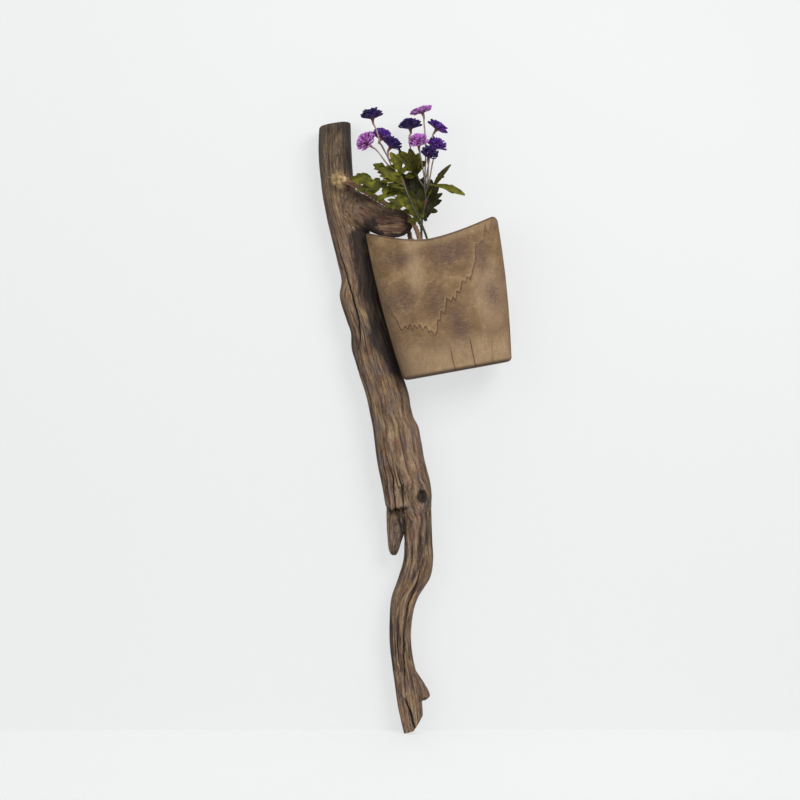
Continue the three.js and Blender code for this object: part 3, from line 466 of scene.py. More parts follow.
class Look(Tree):
    """A procedural material."""

    def __init__(self, name, **settings):
        self.material = bpy.data.materials.new(name)
        super().__init__(self.material)
        self.shader = self.node("BsdfPrincipled")
        self.join(self.shader.outputs[0], self.node("OutputMaterial").inputs["Surface"])
        self.set(**settings)

    def set(self, **sources):
        """The material, with inputs of its shader joined or set."""
        for key, source in sources.items():
            self.join(source, self.shader.inputs[key.replace("_", " ")])
        return self.material

    def value(self, name, output="Fac"):
        return self.node("Attribute", attribute_name=name).outputs[output]

    def parts(self, vector):
        return self.node("SeparateXYZ", vector).outputs

    def noise(self, vector, scale, detail, rough=0.55, twist=0.0):
        node = self.node("TexNoise", vector)
        for key, value in (("Scale", scale), ("Detail", detail), ("Roughness", rough), ("Distortion", twist)):
            node.inputs[key].default_value = value
        return node.outputs["Fac"]

    def veined(self, vector, scale, offset=(0, 0, 0), detail=4.0, rough=0.55, twist=0.0):
        """Noise with its own scale along each axis."""
        node = self.node("Mapping", vector)
        node.inputs["Scale"].default_value = scale
        node.inputs["Location"].default_value = offset
        return self.noise(node.outputs[0], 1.0, detail, rough, twist)

    def ramp(self, source, *stops):
        node = self.node("ValToRGB", source)
        slots = node.color_ramp.elements
        while len(slots) < len(stops):
            slots.new(0.5)
        for slot, (where, color) in zip(slots, stops):
            slot.position, slot.color = where, srgb(*color)
        return node.outputs[0]

    def mix(self, share, first, second):
        node = self.node("Mix", data_type="RGBA")
        for source, target in zip((share, first, second), (node.inputs[0], node.inputs[6], node.inputs[7])):
            self.join(source, target)
        return node.outputs[2]

    def paint(self, base, *layers):
        """A base colour under layers of (share, red, green, blue)."""
        for share, *color in layers:
            base = self.mix(share, base, srgb(*color))
        return base

    def bump(self, height, distance, strength):
        node = self.node("Bump")
        self.join(height, node.inputs["Height"])
        node.inputs["Distance"].default_value = distance * MM
        node.inputs["Strength"].default_value = strength
        return node.outputs[0]


# Materials of the wood

def driftwood():
    """Weathered wood: streaks along the grain in several browns, painted shade in the furrows, cracks and
    knot hole and from the log's tone values, and sawn ends.
    """
    look = Look("driftwood", IOR=1.45)
    grain = look.value("grain", "Vector")
    height = look.parts(grain)[2]
    tone_and_shade = look.value("tone_and_shade")
    streak = look.veined(grain, (0.24, 0.24, 0.022), (0, 0, 0), 9, 0.8, 0.15)
    fibre = look.veined(grain, (0.8, 0.8, 0.05), (9, 2, 4), 7, 0.78, 0.1)
    fleck = look.veined(grain, (0.7, 0.7, 0.12), (2, 6, 1), 4, 0.65)
    patch = look.veined(grain, (0.09, 0.09, 0.034), (3, 7, 1), 6, 0.74, 0.2)
    hue = look.veined(grain, (0.13, 0.13, 0.045), (40, 3, 8), 6, 0.74, 0.2)
    gold = look.veined(grain, (0.15, 0.15, 0.04), (14, 33, 5), 6, 0.74, 0.2)
    body = look.ramp(streak, (0.32, (34, 25, 20)), (0.43, (76, 57, 43)), (0.5, (112, 88, 66)),
                     (0.57, (144, 118, 90)), (0.67, (182, 158, 126)))
    rust, grey, pale = (look.ramp(streak, *zip((0.3, 0.43, 0.54, 0.7), colors)) for colors in (
        ((42, 25, 20), (92, 56, 42), (132, 88, 66), (172, 128, 98)),
        ((42, 35, 36), (84, 71, 69), (116, 101, 97), (154, 141, 132)),
        ((58, 44, 28), (112, 90, 58), (148, 124, 84), (186, 164, 122)),
    ))
    body = look.mix(look.fit(gold, 0.5, 0.6, 0, 0.85), body, pale)
    body = look.mix(look.fit(patch, 0.5, 0.6, 0, 0.85), body, grey)
    body = look.mix(look.fit(hue, 0.51, 0.61, 0, 0.85), body, rust)
    body = look.mix(look.fit(height, -110, -30, 0, 0.3), body, pale)
    limb, top = look.fit(height, -545, -600), look.fit(height, -70, -10)
    crack = look.fit(look.size(look.value("crack")), 0.35, 1.1, 1, 0)
    top_line = look.times(top, look.fit(fibre, 0.45, 0.54, 0.85, 0))
    body = look.paint(
        body,
        (look.times(limb, look.fit(streak, 0.39, 0.48, 0.8, 0)), 44, 30, 25),
        (look.times(limb, look.fit(streak, 0.53, 0.62, 0, 0.6)), 172, 144, 112),
        (look.times(top, 0.32), 48, 40, 34),
        (look.largest(look.fit(fibre, 0.36, 0.5, 0.8, 0), top_line), 36, 27, 23),
        (look.fit(fleck, 0.56, 0.72, 0, 0.4), 176, 152, 122),
        # Painted shade in the furrows, the cracks and the knot hole
        (look.fit(look.value("furrow_shade"), 0.12, 0.8, 0, 0.92), 26, 20, 17),
        (look.times(crack, look.value("crack_near")), 20, 15, 13),
        # Painted shade and shadow carried by the log's tone values, and paler where the tone is over 1
        (look.fit(tone_and_shade, 0.1, 1, 0.92, 0), 26, 16, 14),
        (look.fit(tone_and_shade, 1, 2, 0, 0.6), 178, 154, 122),
    )
    place = look.value("cut", "Vector")
    blur = look.veined(place, (0.05, 0.09, 0.09), (0, 0, 0), 3, 0.6)
    line = look.veined(place, (0.04, 0.34, 0.34), (3, 0, 0), 7, 0.72, 0.6)
    cut = look.ramp(line, (0.37, (46, 31, 27)), (0.46, (90, 64, 51)), (0.54, (130, 102, 79)),
                    (0.63, (172, 145, 110)))
    # Darker towards the rim of each sawn face; along the stub face's lower edge this is painted shade
    rim_mask = look.plus(look.value("ring"), look.times(look.minus(blur, 0.5), 0.9))
    cut = look.paint(cut, (look.fit(blur, 0.44, 0.62, 0, 0.6), 104, 70, 62),
                     (look.fit(rim_mask, 0.46, 0.68, 0, 0.96), 32, 24, 22))
    relief = look.plus(look.times(streak, 1.4), look.times(fibre, 1.1))
    return look.set(Base_Color=look.mix(look.value("sawn"), body, cut), Normal=look.bump(relief, 1.7, 0.9),
                    Roughness=look.fit(streak, 0.2, 0.8, 0.93, 0.74))


def carved_wood():
    """Hollowed pot: olive-brown wood with soft blotches, a stepped growth line, pores and drying cracks, with
    painted shade in the cracks, along the foot, towards the sides and inside.
    """
    look = Look("carved_wood", IOR=1.45, Specular_IOR_Level=0.3)
    place = look.value("pot", "Vector")
    near = look.value("line_near")
    cloud = look.veined(place, (0.02, 0.02, 0.024), (0, 0, 0), 5, 0.62, 0.6)
    mottle = look.veined(place, (0.045, 0.045, 0.034), (5, 1, 9), 6, 0.62, 0.3)
    weave = look.veined(place, (0.16, 0.16, 0.5), (8, 4, 2), 4, 0.6, 0.5)
    fibre = look.veined(place, (0.8, 0.8, 0.06), (1, 8, 3), 5, 0.66, 0.3)
    pore = look.veined(place, (3.2, 3.2, 0.35), (7, 3, 1), 2, 0.5)
    jog = look.veined(place, (0.42, 0.42, 0.42), (3, 3, 3), 4, 0.7)
    line = look.plus(look.value("line"), look.times(look.minus(jog, 0.5), 7.0))
    off = look.size(line)
    band = look.math("SINE", look.plus(look.times(line, 0.5), look.times(mottle, 5.5)))
    thin = look.times(look.fit(off, 0.35, 1.4, 0.85, 0), near)
    beside = look.fit(look.size(look.plus(line, -2.4)), 0.5, 2.0, 0.22, 0)
    base = look.ramp(cloud, (0.34, (90, 69, 44)), (0.45, (110, 86, 57)), (0.55, (124, 99, 68)),
                     (0.66, (144, 118, 84)))
    base = look.paint(
        base,
        (look.fit(mottle, 0.5, 0.72, 0, 0.4), 94, 74, 52),
        (look.fit(mottle, 0.46, 0.3, 0, 0.3), 152, 126, 88),
        (look.fit(weave, 0.44, 0.64, 0, 0.34), 86, 66, 47),
        (look.fit(weave, 0.46, 0.3, 0, 0.25), 168, 144, 108),
        (look.fit(look.value("pale"), 0.1, 1, 0, 0.6), 162, 137, 107),
        (look.fit(fibre, 0.45, 0.7, 0, 0.45), 92, 72, 52),
        (look.times(look.fit(band, 0.1, 1), look.fit(off, 4, 40, 0.34, 0)), 108, 86, 64),
        (look.times(look.value("blotch"), look.fit(weave, 0.34, 0.6, 0.5, 0.9)), 82, 61, 53),
        (look.times(beside, near), 160, 134, 100),
        (thin, 72, 48, 34),
        (look.times(look.fit(pore, 0.6, 0.76), 0.5), 78, 60, 44),
        # A dark line under the rim with the pores; painted shade along the foot, towards the sides and
        # inside, and in the cracks
        (look.times(look.value("edge"), 0.85), 56, 42, 32),
        (look.times(look.value("end"), 0.6), 84, 66, 50),
        (look.value("split"), 34, 25, 19),
    )
    relief = look.minus(look.plus(look.times(fibre, 0.6), look.times(mottle, 0.9)), look.times(thin, 0.06))
    return look.set(Base_Color=base, Roughness=look.fit(mottle, 0.3, 0.7, 0.66, 0.84),
                    Normal=look.bump(relief, 1.0, 0.8))


# Log: tables of height, left, right, front and back

TRUNK = [
    [78, -24, 22, -57, 8], [20, -26, 24, -60, 9], [-32, -22, 29, -62, 9], [-80, -15, 42, -61, 9],
    [-128, -3, 60, -60, 6], [-165, 6, 69, -59, 1], [-192, 12, 73, -59, -2], [-218, 9, 71, -58, -4],
    [-256, 20, 83, -58, -4], [-276, 26.5, 88.5, -58, -3], [-301, 27.5, 96.5, -59, -1],
    [-339, 38, 106, -61, 5], [-378, 50, 118, -63, 9], [-412, 57, 124, -65, 9], [-428, 60, 132, -66, 9],
    [-483, 67, 142, -67, 9], [-528, 76, 153, -66, 3], [-556, 81, 151, -63, -2],
]
LIMB = [
    [-462, 110, 124, -48, -14], [-496, 111, 141, -58, -9], [-528, 104, 152.5, -66, -6],
    [-556, 107, 153, -65.5, -6], [-580, 111, 153.5, -61, -7], [-616, 112, 155, -54, -8],
    [-640, 111, 156.5, -52, -9], [-670, 103, 152, -50, -10], [-702, 92, 132, -49, -11],
    [-735, 88.5, 123, -48, -11], [-781, 89, 121.5, -47, -11], [-838, 96, 132, -46, -12],
    [-877, 101.5, 139, -45, -12], [-909, 109, 138, -42, -13], [-928, 113, 134, -38, -17],
]
SPIKE = [[-520, 82, 112, -48, -12], [-592, 84, 111, -45, -18], [-613, 85.5, 104.5, -43, -22],
         [-626, 87.5, 100, -40, -25], [-632, 90.5, 97, -36, -28]]
SPLINTER = [[-530, 101, 113, -54, -20], [-575, 103.5, 113, -52, -26], [-595, 107.5, 112.5, -44, -36]]

STUB = Curve([(12, -33, -64), (30, -39, -75), (55, -47, -88.5), (78, -53.5, -99.5), (105.6, -61, -106.5),
              (132, -68, -111)])
STUB_RADII = [26.5, 26.5, 24, 22.5, 21]
STUB_FACE, SAWN_WAY = np.array([86.5, -59, -108.5]), unit([0.36, -0.9, -0.28])
FACE_MIDDLE, FACE_LONG, FACE_REACH = np.array([88.8, -58, -106]), unit([0.916, 0.392, -0.082]), 44
KNOB = np.array([[118, -30, -828], [148, -34, -863]])
KNOB_RADII = [13, 13, 12.4, 11.6, 10.8, 10, 9.2, 7.9, 5.5]
KNOB_FILLET = ([(120, -30, -848), (129, -31, -860), (137, -32, -869.5)], [11, 10, 7.5])
# Each saw cut: a point, its direction, the middle of the cut face and its reach
END_CUTS = [((0, 0, 58.6), (-0.167, 0, 1), (-1, -26, 58.6), 26),
            ((112.4, 0, -920), (0.35, 0, -1), (122, -28, -918), 16),
            ((127, 0, -914), (1.6, 0, -1), (131, -28, -908), 16)]
KNOT_HOLE = np.array([138.7, -65, -538])
SWIRLS = ((KNOT_HOLE, 15), (np.array([29, -40, -315]), 11), (np.array([40, -60, -150]), 10))
# Each drying crack: its part of the log, its strength, and heights with the share of the way across
CRACKS = [
    (TRUNK, 1.2, [[-126, 0.1], [-160, 0.12], [-194, 0.16], [-222, 0.33], [-253, 0.3], [-278, 0.22],
                  [-304, 0.14]]),
    (TRUNK, 0.6, [[-400, 0.62], [-430, 0.58], [-470, 0.6], [-505, 0.63]]),
    (TRUNK, 1.0, [[-472, 0.24], [-505, 0.27], [-570, 0.26]]),
    (TRUNK, 1.0, [[-488, 0.4], [-520, 0.42], [-572, 0.4]]),
    (TRUNK, 0.8, [[-460, 0.13], [-500, 0.15], [-570, 0.12]]),
    (TRUNK, 0.35, [[40, 0.36], [10, 0.33], [-20, 0.28]]),
    (LIMB, 1.5, [[-655, 0.6], [-676, 0.64], [-714, 0.71], [-768, 0.69], [-796, 0.57], [-851, 0.43]]),
    (LIMB, 1.5, [[-861, 0.34], [-885, 0.5], [-920, 0.72]]),
    (LIMB, 0.9, [[-720, 0.32], [-770, 0.34], [-820, 0.3]]),
]
# Dark spots of the limb: across, height, half width, half height and share
LIMB_SPOTS = [(103.5, -757, 4.5, 34, 0.75), (101.5, -818, 3.5, 22, 0.45), (127, -660, 9, 26, 0.3),
              (142, -560, 6, 22, 0.35)]
# The edge of the pot's painted shadow on the log: heights and places across
SHADE_HEIGHTS, SHADE_EDGES = (-110, -120, -176, -224, -288, -339, -380), (34, 27, 35, 46, 62, 90, 122)

HANGERS = {"upper": (6.585, -50), "lower": (98.105, -440)}
HANGER_SCREW_DROPS = (-8.5, -30)
BEHIND_WALL = ((-300, 0, -1200), (400, 100, 300))
SEAT_GAP = 0.3
ROPE_RADIUS, ROPE_BED, ROPE_WAY = 4.05, 4.4, 4.7


def grown(rows, sides, step):
    """A closed solid through a table's rows, slightly fluted."""
    heights = np.linspace(rows[0][0], rows[-1][0], int((rows[0][0] - rows[-1][0]) / step) + 2)
    left, right, front, back = (column[:, None] for column in table_at(rows, heights).T)
    angle = around(sides)[None, :]
    z = np.broadcast_to(heights[:, None], (len(heights), sides))
    out = 0.985 * (1 + 0.018 * np.sin(5 * angle + z / 90) + 0.014 * np.sin(9 * angle - z / 60))
    cosine, sine = (np.sign(v) * np.abs(v) ** 0.9 for v in (np.cos(angle), np.sin(angle)))
    x = (left + right) / 2 + (right - left) / 2 * out * cosine
    y = (front + back) / 2 + (back - front) / 2 * out * sine
    return loft(np.stack([x, y, z], axis=2))


def grain_of(points):
    """Coordinates that run with the grain: across, through and along the wood."""
    total, weights = np.zeros_like(points), np.full(len(points), 1e-6)
    for rows, scale in ((TRUNK, 33), (LIMB, 22), (SPIKE, 14), (SPLINTER, 7)):
        left, right, front, back = table_at(rows, points[:, 2]).T
        across = (points[:, 0] - (left + right) / 2) / ((right - left) / 2)
        through = (points[:, 1] - (front + back) / 2) / ((back - front) / 2)
        past = np.maximum(points[:, 2] - rows[0][0], rows[-1][0] - points[:, 2]).clip(0) / 8
        gap = (np.hypot(across, through) - 1).clip(0) * scale / 5 + past
        weight = np.exp(-gap.clip(0, 12))
        total += weight[:, None] * np.stack([across * scale, through * scale, points[:, 2]], axis=1)
        weights += weight
    dense = STUB.points(60)
    nearest = np.argmin(np.linalg.norm(points[:, None] - dense[None], axis=2), axis=1)
    way = unit(np.gradient(dense, axis=0))[nearest]
    side = unit(np.cross(way, (0, -1.0, 0)))
    off = points - dense[nearest]
    gap = (np.linalg.norm(off, axis=1) - 20.5).clip(0) / 4 + (9 - nearest).clip(0) / 4
    weight = 2.5 * np.exp(-gap.clip(0, 12))
    along = -70 - nearest / 59 * STUB.length - (off * way).sum(1)
    through = (off * np.cross(side, way)).sum(1)
    total += weight[:, None] * np.stack([(off * side).sum(1), through, along], axis=1)
    grain = total / (weights + weight)[:, None]
    for centre, size in SWIRLS:
        off = points - centre
        swirl = np.exp(-(off[:, 0] ** 2 + (off[:, 2] / 1.6) ** 2 + off[:, 1] ** 2 / 3) / size ** 2)
        grain[:, 0] += swirl * off[:, 0] * -0.8
        grain[:, 2] += swirl * np.abs(off[:, 0]) * 6
    return grain


def crack_depth(points):
    """How deep the drying cracks go at each point of the front, and the distance to the nearest."""
    depth, aside = np.zeros(len(points)), np.full(len(points), 99.0)
    for rows, strength, spots in CRACKS:
        heights, shares = np.array(spots, float).T
        left, right = table_at(rows, heights)[:, :2].T
        top, bottom = heights[0], heights[-1]
        inside = (points[:, 2] < top) & (points[:, 2] > bottom) & (points[:, 1] < -25)
        z = points[inside, 2]
        x = np.interp(-z, -heights, left + (right - left) * shares)
        x += 1.0 * noise_at(z / 19, 0, top)
        x += 0.4 * noise_at(z / 4, 5, top)
        swell = 0.2 + 0.8 * np.sin(math.pi * (top - z) / (top - bottom))
        off = points[inside, 0] - x
        depth[inside] = np.maximum(depth[inside], bell(off, 0, 0.55 + 0.65 * swell) * swell * strength)
        off = off / ((0.35 + 0.65 * swell) * strength)
        aside[inside] = np.where(np.abs(off) < np.abs(aside[inside]), off, aside[inside])
    return depth, aside


def furrows(points, grain, cracks):
    """Depth in millimetres of the weathered furrows, and how much painted shade darkens them, the cracks and
    the knot hole, from 0 to 1.
    """
    x, _, z = points.T
    broad = layered(grain * (1 / 24, 1 / 24, 1 / 120), 2)
    ledge = bell(z, -520, 34) * smooth_step(126, 108, x) * (z > -557)
    strong = ledge + 0.5 * smooth_step(-560, -640, z)
    wide = ridges(grain * (1 / 7.5, 1 / 7.5, 1 / 110) + 31) ** 3
    fine = ridges(grain * (1 / 3.4, 1 / 3.4, 1 / 60) + 7) ** 2
    calm = smooth_step(-0.35, 0.25, noise(grain * (1 / 30, 1 / 30, 1 / 90) + 3))
    hole = np.linalg.norm((points - KNOT_HOLE) * (1, 0.35, 0.66), axis=1) + 2.2 * layered(points / 7, 2)
    pit, collar = smooth_step(8.6, 5.0, hole), bell(hole, 12, 3.6)
    depth = 1.4 * broad + (1.5 + 2.2 * strong) * wide * (0.35 + 0.65 * calm) + 0.75 * fine + 5.5 * cracks
    depth = depth * (1 - 0.7 * collar) + 9 * pit - 1.4 * collar
    # Painted shade in the furrows, deeper above the ledge, in the cracks and in the knot hole
    dark = (0.55 + 0.5 * ledge) * wide * (0.4 + 0.6 * calm) + 0.25 * fine * wide + 0.35 * cracks + pit
    return depth, np.clip(dark, 0, 1)


def torn_edge(x):
    """How far the torn lower end of the trunk steps up or down, by its place across."""
    return 3.2 * noise_at(x / 6, 2, 0) + 1.6 * noise_at(x / 2.1, 0, 4)


def hanger_pocket(x, z):
    """The routed recess for a hanger."""
    low, high = z - 39, z + 24.75
    corner, half = 5, 13.25
    outline = []
    for cx, cz, start in ((half - corner, low + corner, -90), (half - corner, high - corner, 0),
                          (corner - half, high - corner, 90), (corner - half, low + corner, 180)):
        for turn in np.radians(np.linspace(start, start + 90, 7)):
            outline.append((x + cx + corner * math.cos(turn), cz + corner * math.sin(turn)))
    return loft([[(px, y, pz) for px, pz in outline] for y in (-9.0, 8.0)])


def grow_log():
    """The log before its cuts: one skin over trunk, limb, spikes, stub and knob, with furrows and cracks."""
    raw = Shape()
    for rows, sides, step in ((TRUNK, 72, 5), (LIMB, 56, 5), (SPIKE, 36, 5), (SPLINTER, 24, 4)):
        raw.add(grown(rows, sides, step))
    shares = np.linspace(0, 1, 40)
    radii = np.interp(shares * (len(STUB_RADII) - 1), range(len(STUB_RADII)), STUB_RADII)
    stub = Shape(sweep(STUB.points(40), radii, 48)).mesh("stub")
    raw.add(solid_of(carved(stub, beyond(STUB_FACE, SAWN_WAY))))
    raw.add(sweep(KNOB[0] + (KNOB[1] - KNOB[0]) * np.linspace(0, 1, 9)[:, None], KNOB_RADII, 28))
    raw.add(sweep(*KNOB_FILLET, 24))
    voxel = 1.25 * MM
    mesh = modified(raw.mesh("log_raw"), ("REMESH", {"mode": "VOXEL", "voxel_size": voxel}),
                    ("SMOOTH", {"factor": 0.5, "iterations": 3}))
    points = points_of(mesh)
    depth, _ = furrows(points, grain_of(points), crack_depth(points)[0])
    on_face = np.linalg.norm(points - FACE_MIDDLE, axis=1) < FACE_REACH
    flat = smooth_step(-3.0, -0.6, (points - STUB_FACE) @ SAWN_WAY) * on_face
    x, y, z = points.T
    torn = smooth_step(-536, -553, z) * (z > -568) * smooth_step(124, 108, x)
    rope_side = smooth_step(-30, -42, y) * smooth_step(-150, -125, z) * smooth_step(15, -5, z)
    depth = depth * (1 - 0.93 * flat) + 0.4 - 1.9 * (1 - np.maximum(rope_side, flat))
    points = points - read(mesh, "normal") * depth[:, None]
    points[:, 2] += torn * torn_edge(x)
    mesh.vertices.foreach_set("co", (points * MM).astype(np.float32).ravel())
    mesh.update()
    return mesh


def cut_log(mesh):
    """Saw cuts, planed back, the pot's seat, the hangers' pockets, the rope's bed and the bores."""
    for point, way, _, _ in END_CUTS:
        mesh = carved(mesh, beyond(point, way))
    mesh = carved(mesh, block(*BEHIND_WALL))
    mesh = carved(mesh, pot_plug(SEAT_GAP))
    mesh = carved(mesh, *[hanger_pocket(x, z) for x, z in HANGERS.values()])
    mesh = carved(mesh, sweep(ROPE.points(260), ROPE_BED, 20))
    mesh = carved(mesh, *log_fixing_holes())
    return carved(mesh, *pot_fixing_holes())


def sawn_marks(points):
    """For the sawn faces: where they are, how near their rim, and coordinates along the saw's cut."""
    sawn, ring, cut = np.zeros(len(points)), np.zeros(len(points)), np.zeros((len(points), 3))
    for point, way, centre, reach in END_CUTS:
        on = np.abs((points - point) @ unit(way)) < 0.25
        sawn[on] = 1
        cut[on] = (points[on] - centre) @ np.array([[0.3, 0, 0], [0, 1, 0], [0, 0, 0.2]])
        ring[on] = np.linalg.norm(points[on] - centre, axis=1) / reach
    off = points - FACE_MIDDLE
    on = (np.abs((points - STUB_FACE) @ SAWN_WAY + 0.45) < 1.3) & (np.linalg.norm(off, axis=1) < FACE_REACH)
    span = np.stack([off @ FACE_LONG, off @ unit(np.cross(SAWN_WAY, FACE_LONG)), off @ SAWN_WAY], axis=1)[on]
    # The stub face's lower edge keeps a dark rim: painted shade under the stub
    low_edge = smooth_step(5, -9, span[:, 1] + 0.25 * span[:, 0])
    reach = np.hypot(span[:, 0] / 37, (span[:, 1] + 0.5) / 21.5)
    cut[on] = span
    ring[on] = reach * (0.55 + 0.45 * low_edge)
    sawn[on] = 1 - 0.75 * smooth_step(0.62, 0.92, reach) * (1 - low_edge)
    return {"sawn": sawn, "ring": ring, "cut": cut}


def tone_and_shade_of(points, grain):
    """How light each point of the log is, with its painted shade and shadow: 0 nearly black, 1 plain and 2
    pale.
    """
    x, y, z = points.T
    left, right = table_at(TRUNK, z)[:, :2].T
    limb_left, limb_right = table_at(LIMB, z)[:, :2].T
    tone_and_shade = 1 + 0.3 * layered(points / 60, 2) + 0.3 * layered(grain / (11, 11, 36), 3)
    # Painted shade on the back towards the wall, the pot's painted shadow on the strip beside it, and painted
    # shade in the join with the pot lower down
    tone_and_shade -= 0.45 * smooth_step(-26, -8, y) * smooth_step(-70, -140, z)
    shade = x - np.interp(-z, -np.array(SHADE_HEIGHTS), SHADE_EDGES) + 3.5 * layered(points / (8, 30, 16), 2)
    pot_shadow = smooth_step(-10, 3, shade) * smooth_step(-92, -122, z) * smooth_step(-362, -330, z)
    tone_and_shade -= pot_shadow * (0.8 + 0.3 * layered(points / (5, 12, 34), 3))
    tone_and_shade -= 0.4 * smooth_step(16, 2, right - x) * smooth_step(-270, -300, z) * smooth_step(-372, -352, z)
    # The torn lower end of the trunk, with a painted shadow line under its overhang and a paler patchy band
    # just above it, and the spike under it
    edge_z = z - torn_edge(x)
    rim_mask = (x < 118) * (x > 76) * (y < -40) * smooth_step(-0.4, 0.3, noise(points / 9))
    tone_and_shade -= 0.8 * bell(edge_z, -559.5, 3.2) * (x < 118) * (x > 76)
    tone_and_shade += 0.35 * bell(edge_z, -551, 3.5) * rim_mask
    tone_and_shade += 0.16 * smooth_step(-566, -574, z) * smooth_step(-642, -630, z) * (x < 112) * (y < -30)
    # The limb
    tone_and_shade += 0.12 * smooth_step(-690, -740, z)
    share = (x - limb_left) / np.maximum(limb_right - limb_left, 1)
    patchy = smooth_step(-0.35, 0.35, layered(points / (14, 14, 30), 2))
    left_side = smooth_step(0.5, 0.12, share) * patchy
    tone_and_shade -= 0.6 * left_side * smooth_step(-705, -730, z) * smooth_step(-845, -820, z)
    # Painted shade under the stub's root, and the top darker, most in a strip down its right side
    tone_and_shade -= 0.5 * bell(z, -118, 12) * bell(x, 58, 16) * (y < -40)
    tone_and_shade -= 0.08 * smooth_step(-60, 10, z)
    strip = smooth_step(13, 7, right - x + 2.5 * layered(points / (9, 9, 40), 2))
    tone_and_shade -= 0.42 * strip * smooth_step(-42, -8, z)
    # Painted shade along the outer edges of the trunk and the limb, and the limb's dark spots
    tone_and_shade -= 0.5 * smooth_step(6, 0.5, np.minimum(x - left, right - x)) * (z > -556)
    tone_and_shade -= 0.45 * smooth_step(4.5, 0.5, np.minimum(x - limb_left, limb_right - x)) * (z < -560)
    for spot_x, spot_z, wide, tall, dark_share in LIMB_SPOTS:
        tone_and_shade -= dark_share * bell(x, spot_x, wide) * bell(z, spot_z, tall) * (0.4 + 0.9 * patchy) * (y < -20)
    return tone_and_shade


def make_log():
    """The finished log, with the values that its material reads."""
    mesh = cut_log(grow_log())
    points = points_of(mesh)
    grain = grain_of(points)
    cracks, aside = crack_depth(points)
    near = smooth_step(0.02, 0.1, cracks + (np.abs(aside) < 2.4) * 1.0)
    put(mesh, {
        "grain": grain, "furrow_shade": furrows(points, grain, cracks)[1], "tone_and_shade": tone_and_shade_of(points, grain),
        "crack": np.clip(aside, -20, 20), "crack_near": (np.abs(aside) < 6) * near, **sawn_marks(points),
    })
    piece("driftwood_log", mesh, [driftwood()], "planter", 42)


# Pot, in its own frame: the middle of its foot is the origin and its front faces -Y

POT_HEIGHT, POT_TOP, POT_BASE = 242, (211, 100), (175, 86)
POT_WALL, POT_FLOOR, POT_FOOT, POT_POWER = 12, 16, 7, 2.8
POT_AT = np.array([196.1767, -61, -337.5629])
TILT_COSINE, TILT_SINE = math.cos(math.radians(10.3)), math.sin(math.radians(10.3))
# The rim: how far its lowest point is left of the middle, how deep the saddle is, and its corners
RIM_LOW, RIM_DIP, RIM_RISES, RIM_CORNERS = -8, 30, (30.0, 21.0), (3.0, 12.0)


def pot_to_world(points):
    """Points of the pot's own frame in the part's frame."""
    x, y, z = np.asarray(points, float).T
    return np.stack([x * TILT_COSINE - z * TILT_SINE, y, x * TILT_SINE + z * TILT_COSINE], axis=1) + POT_AT


def to_pot(points):
    """Points of the part's frame in the pot's own."""
    x, y, z = (np.asarray(points, float) - POT_AT).T
    return np.stack([x * TILT_COSINE + z * TILT_SINE, y, z * TILT_COSINE - x * TILT_SINE], axis=1)


def in_pot(solid):
    """A solid of the pot's own frame in the part's frame."""
    points, faces = solid
    return pot_to_world(points), faces


def pot_half(height, inset=0.0):
    """Half the pot's width and depth at a height, less an inset."""
    height = np.asarray(height, float)
    share = np.maximum(0, 1 - height / POT_HEIGHT) ** 2
    foot = np.maximum(0, POT_FOOT - np.maximum(height, 0))
    tuck = POT_FOOT - np.sqrt(np.maximum(0, POT_FOOT ** 2 - foot ** 2))
    return [(top - (top - base) * share) / 2 - tuck - inset for top, base in zip(POT_TOP, POT_BASE)]


def rim_height(x):
    """The saddle of the rim: lowest a little left of the middle, with rounded corners."""
    half = pot_half(POT_HEIGHT)[0]
    reach = np.abs(x - RIM_LOW) / np.where(x > RIM_LOW, half - RIM_LOW, half + RIM_LOW)
    rise = np.where(x < RIM_LOW, *RIM_RISES)
    corner = np.where(x < 0, *RIM_CORNERS)
    into = np.clip(np.abs(x) - (half - corner), 0, corner)
    return POT_HEIGHT - RIM_DIP + rise * reach ** 1.65 - (corner - np.sqrt(corner ** 2 - into ** 2))


def pot_ring(height, inset, angle):
    """Points round the pot at one height for each angle."""
    a, b = pot_half(height, inset)
    x, y = (np.sign(v) * np.abs(v) ** (2 / POT_POWER) for v in (np.cos(angle), np.sin(angle)))
    return np.stack([a * x, b * y, np.broadcast_to(height, angle.shape)], axis=-1)


def rim_of(angle, inset):
    """Height of the rim over the wall at each angle."""
    height = np.full(angle.shape, 225.0)
    for _ in range(12):
        height = rim_height(pot_ring(height, inset, angle)[..., 0])
    return height


def pot_plug(grow):
    """The pot's whole outside as one closed solid, grown a little: what the log is hollowed for."""
    sides = 160
    half = sides // 2
    angle = (np.arange(sides) + 0.5) * TURN / sides
    top = rim_of(angle, -grow) + grow
    rows = [pot_ring(np.full(sides, h), -grow, angle) for h in (-grow, 0.8, 2.2, 4.5, POT_FOOT)]
    for share in np.linspace(0.05, 1, 20):
        rows.append(pot_ring(POT_FOOT + (top - POT_FOOT) * share, -grow, angle))
    points = np.vstack([*rows, [[0, 0, -grow]]])
    start = (len(rows) - 1) * sides
    faces = grid_faces(len(rows), sides)
    faces += [(len(points) - 1, (c + 1) % sides, c) for c in range(sides)]
    for c in range(half - 1):
        faces.append((start + c, start + c + 1, start + sides - 2 - c, start + sides - 1 - c))
    return pot_to_world(points), faces


GRID = 1.6


def face_spots(*spots):
    """Spots of the pot's front, read as (across, down) on the grid, in the pot's own frame."""
    return to_pot([((x - 335) * GRID, POT_AT[1] - 50, (160 - z) * GRID) for x, z in spots])[:, [0, 2]]


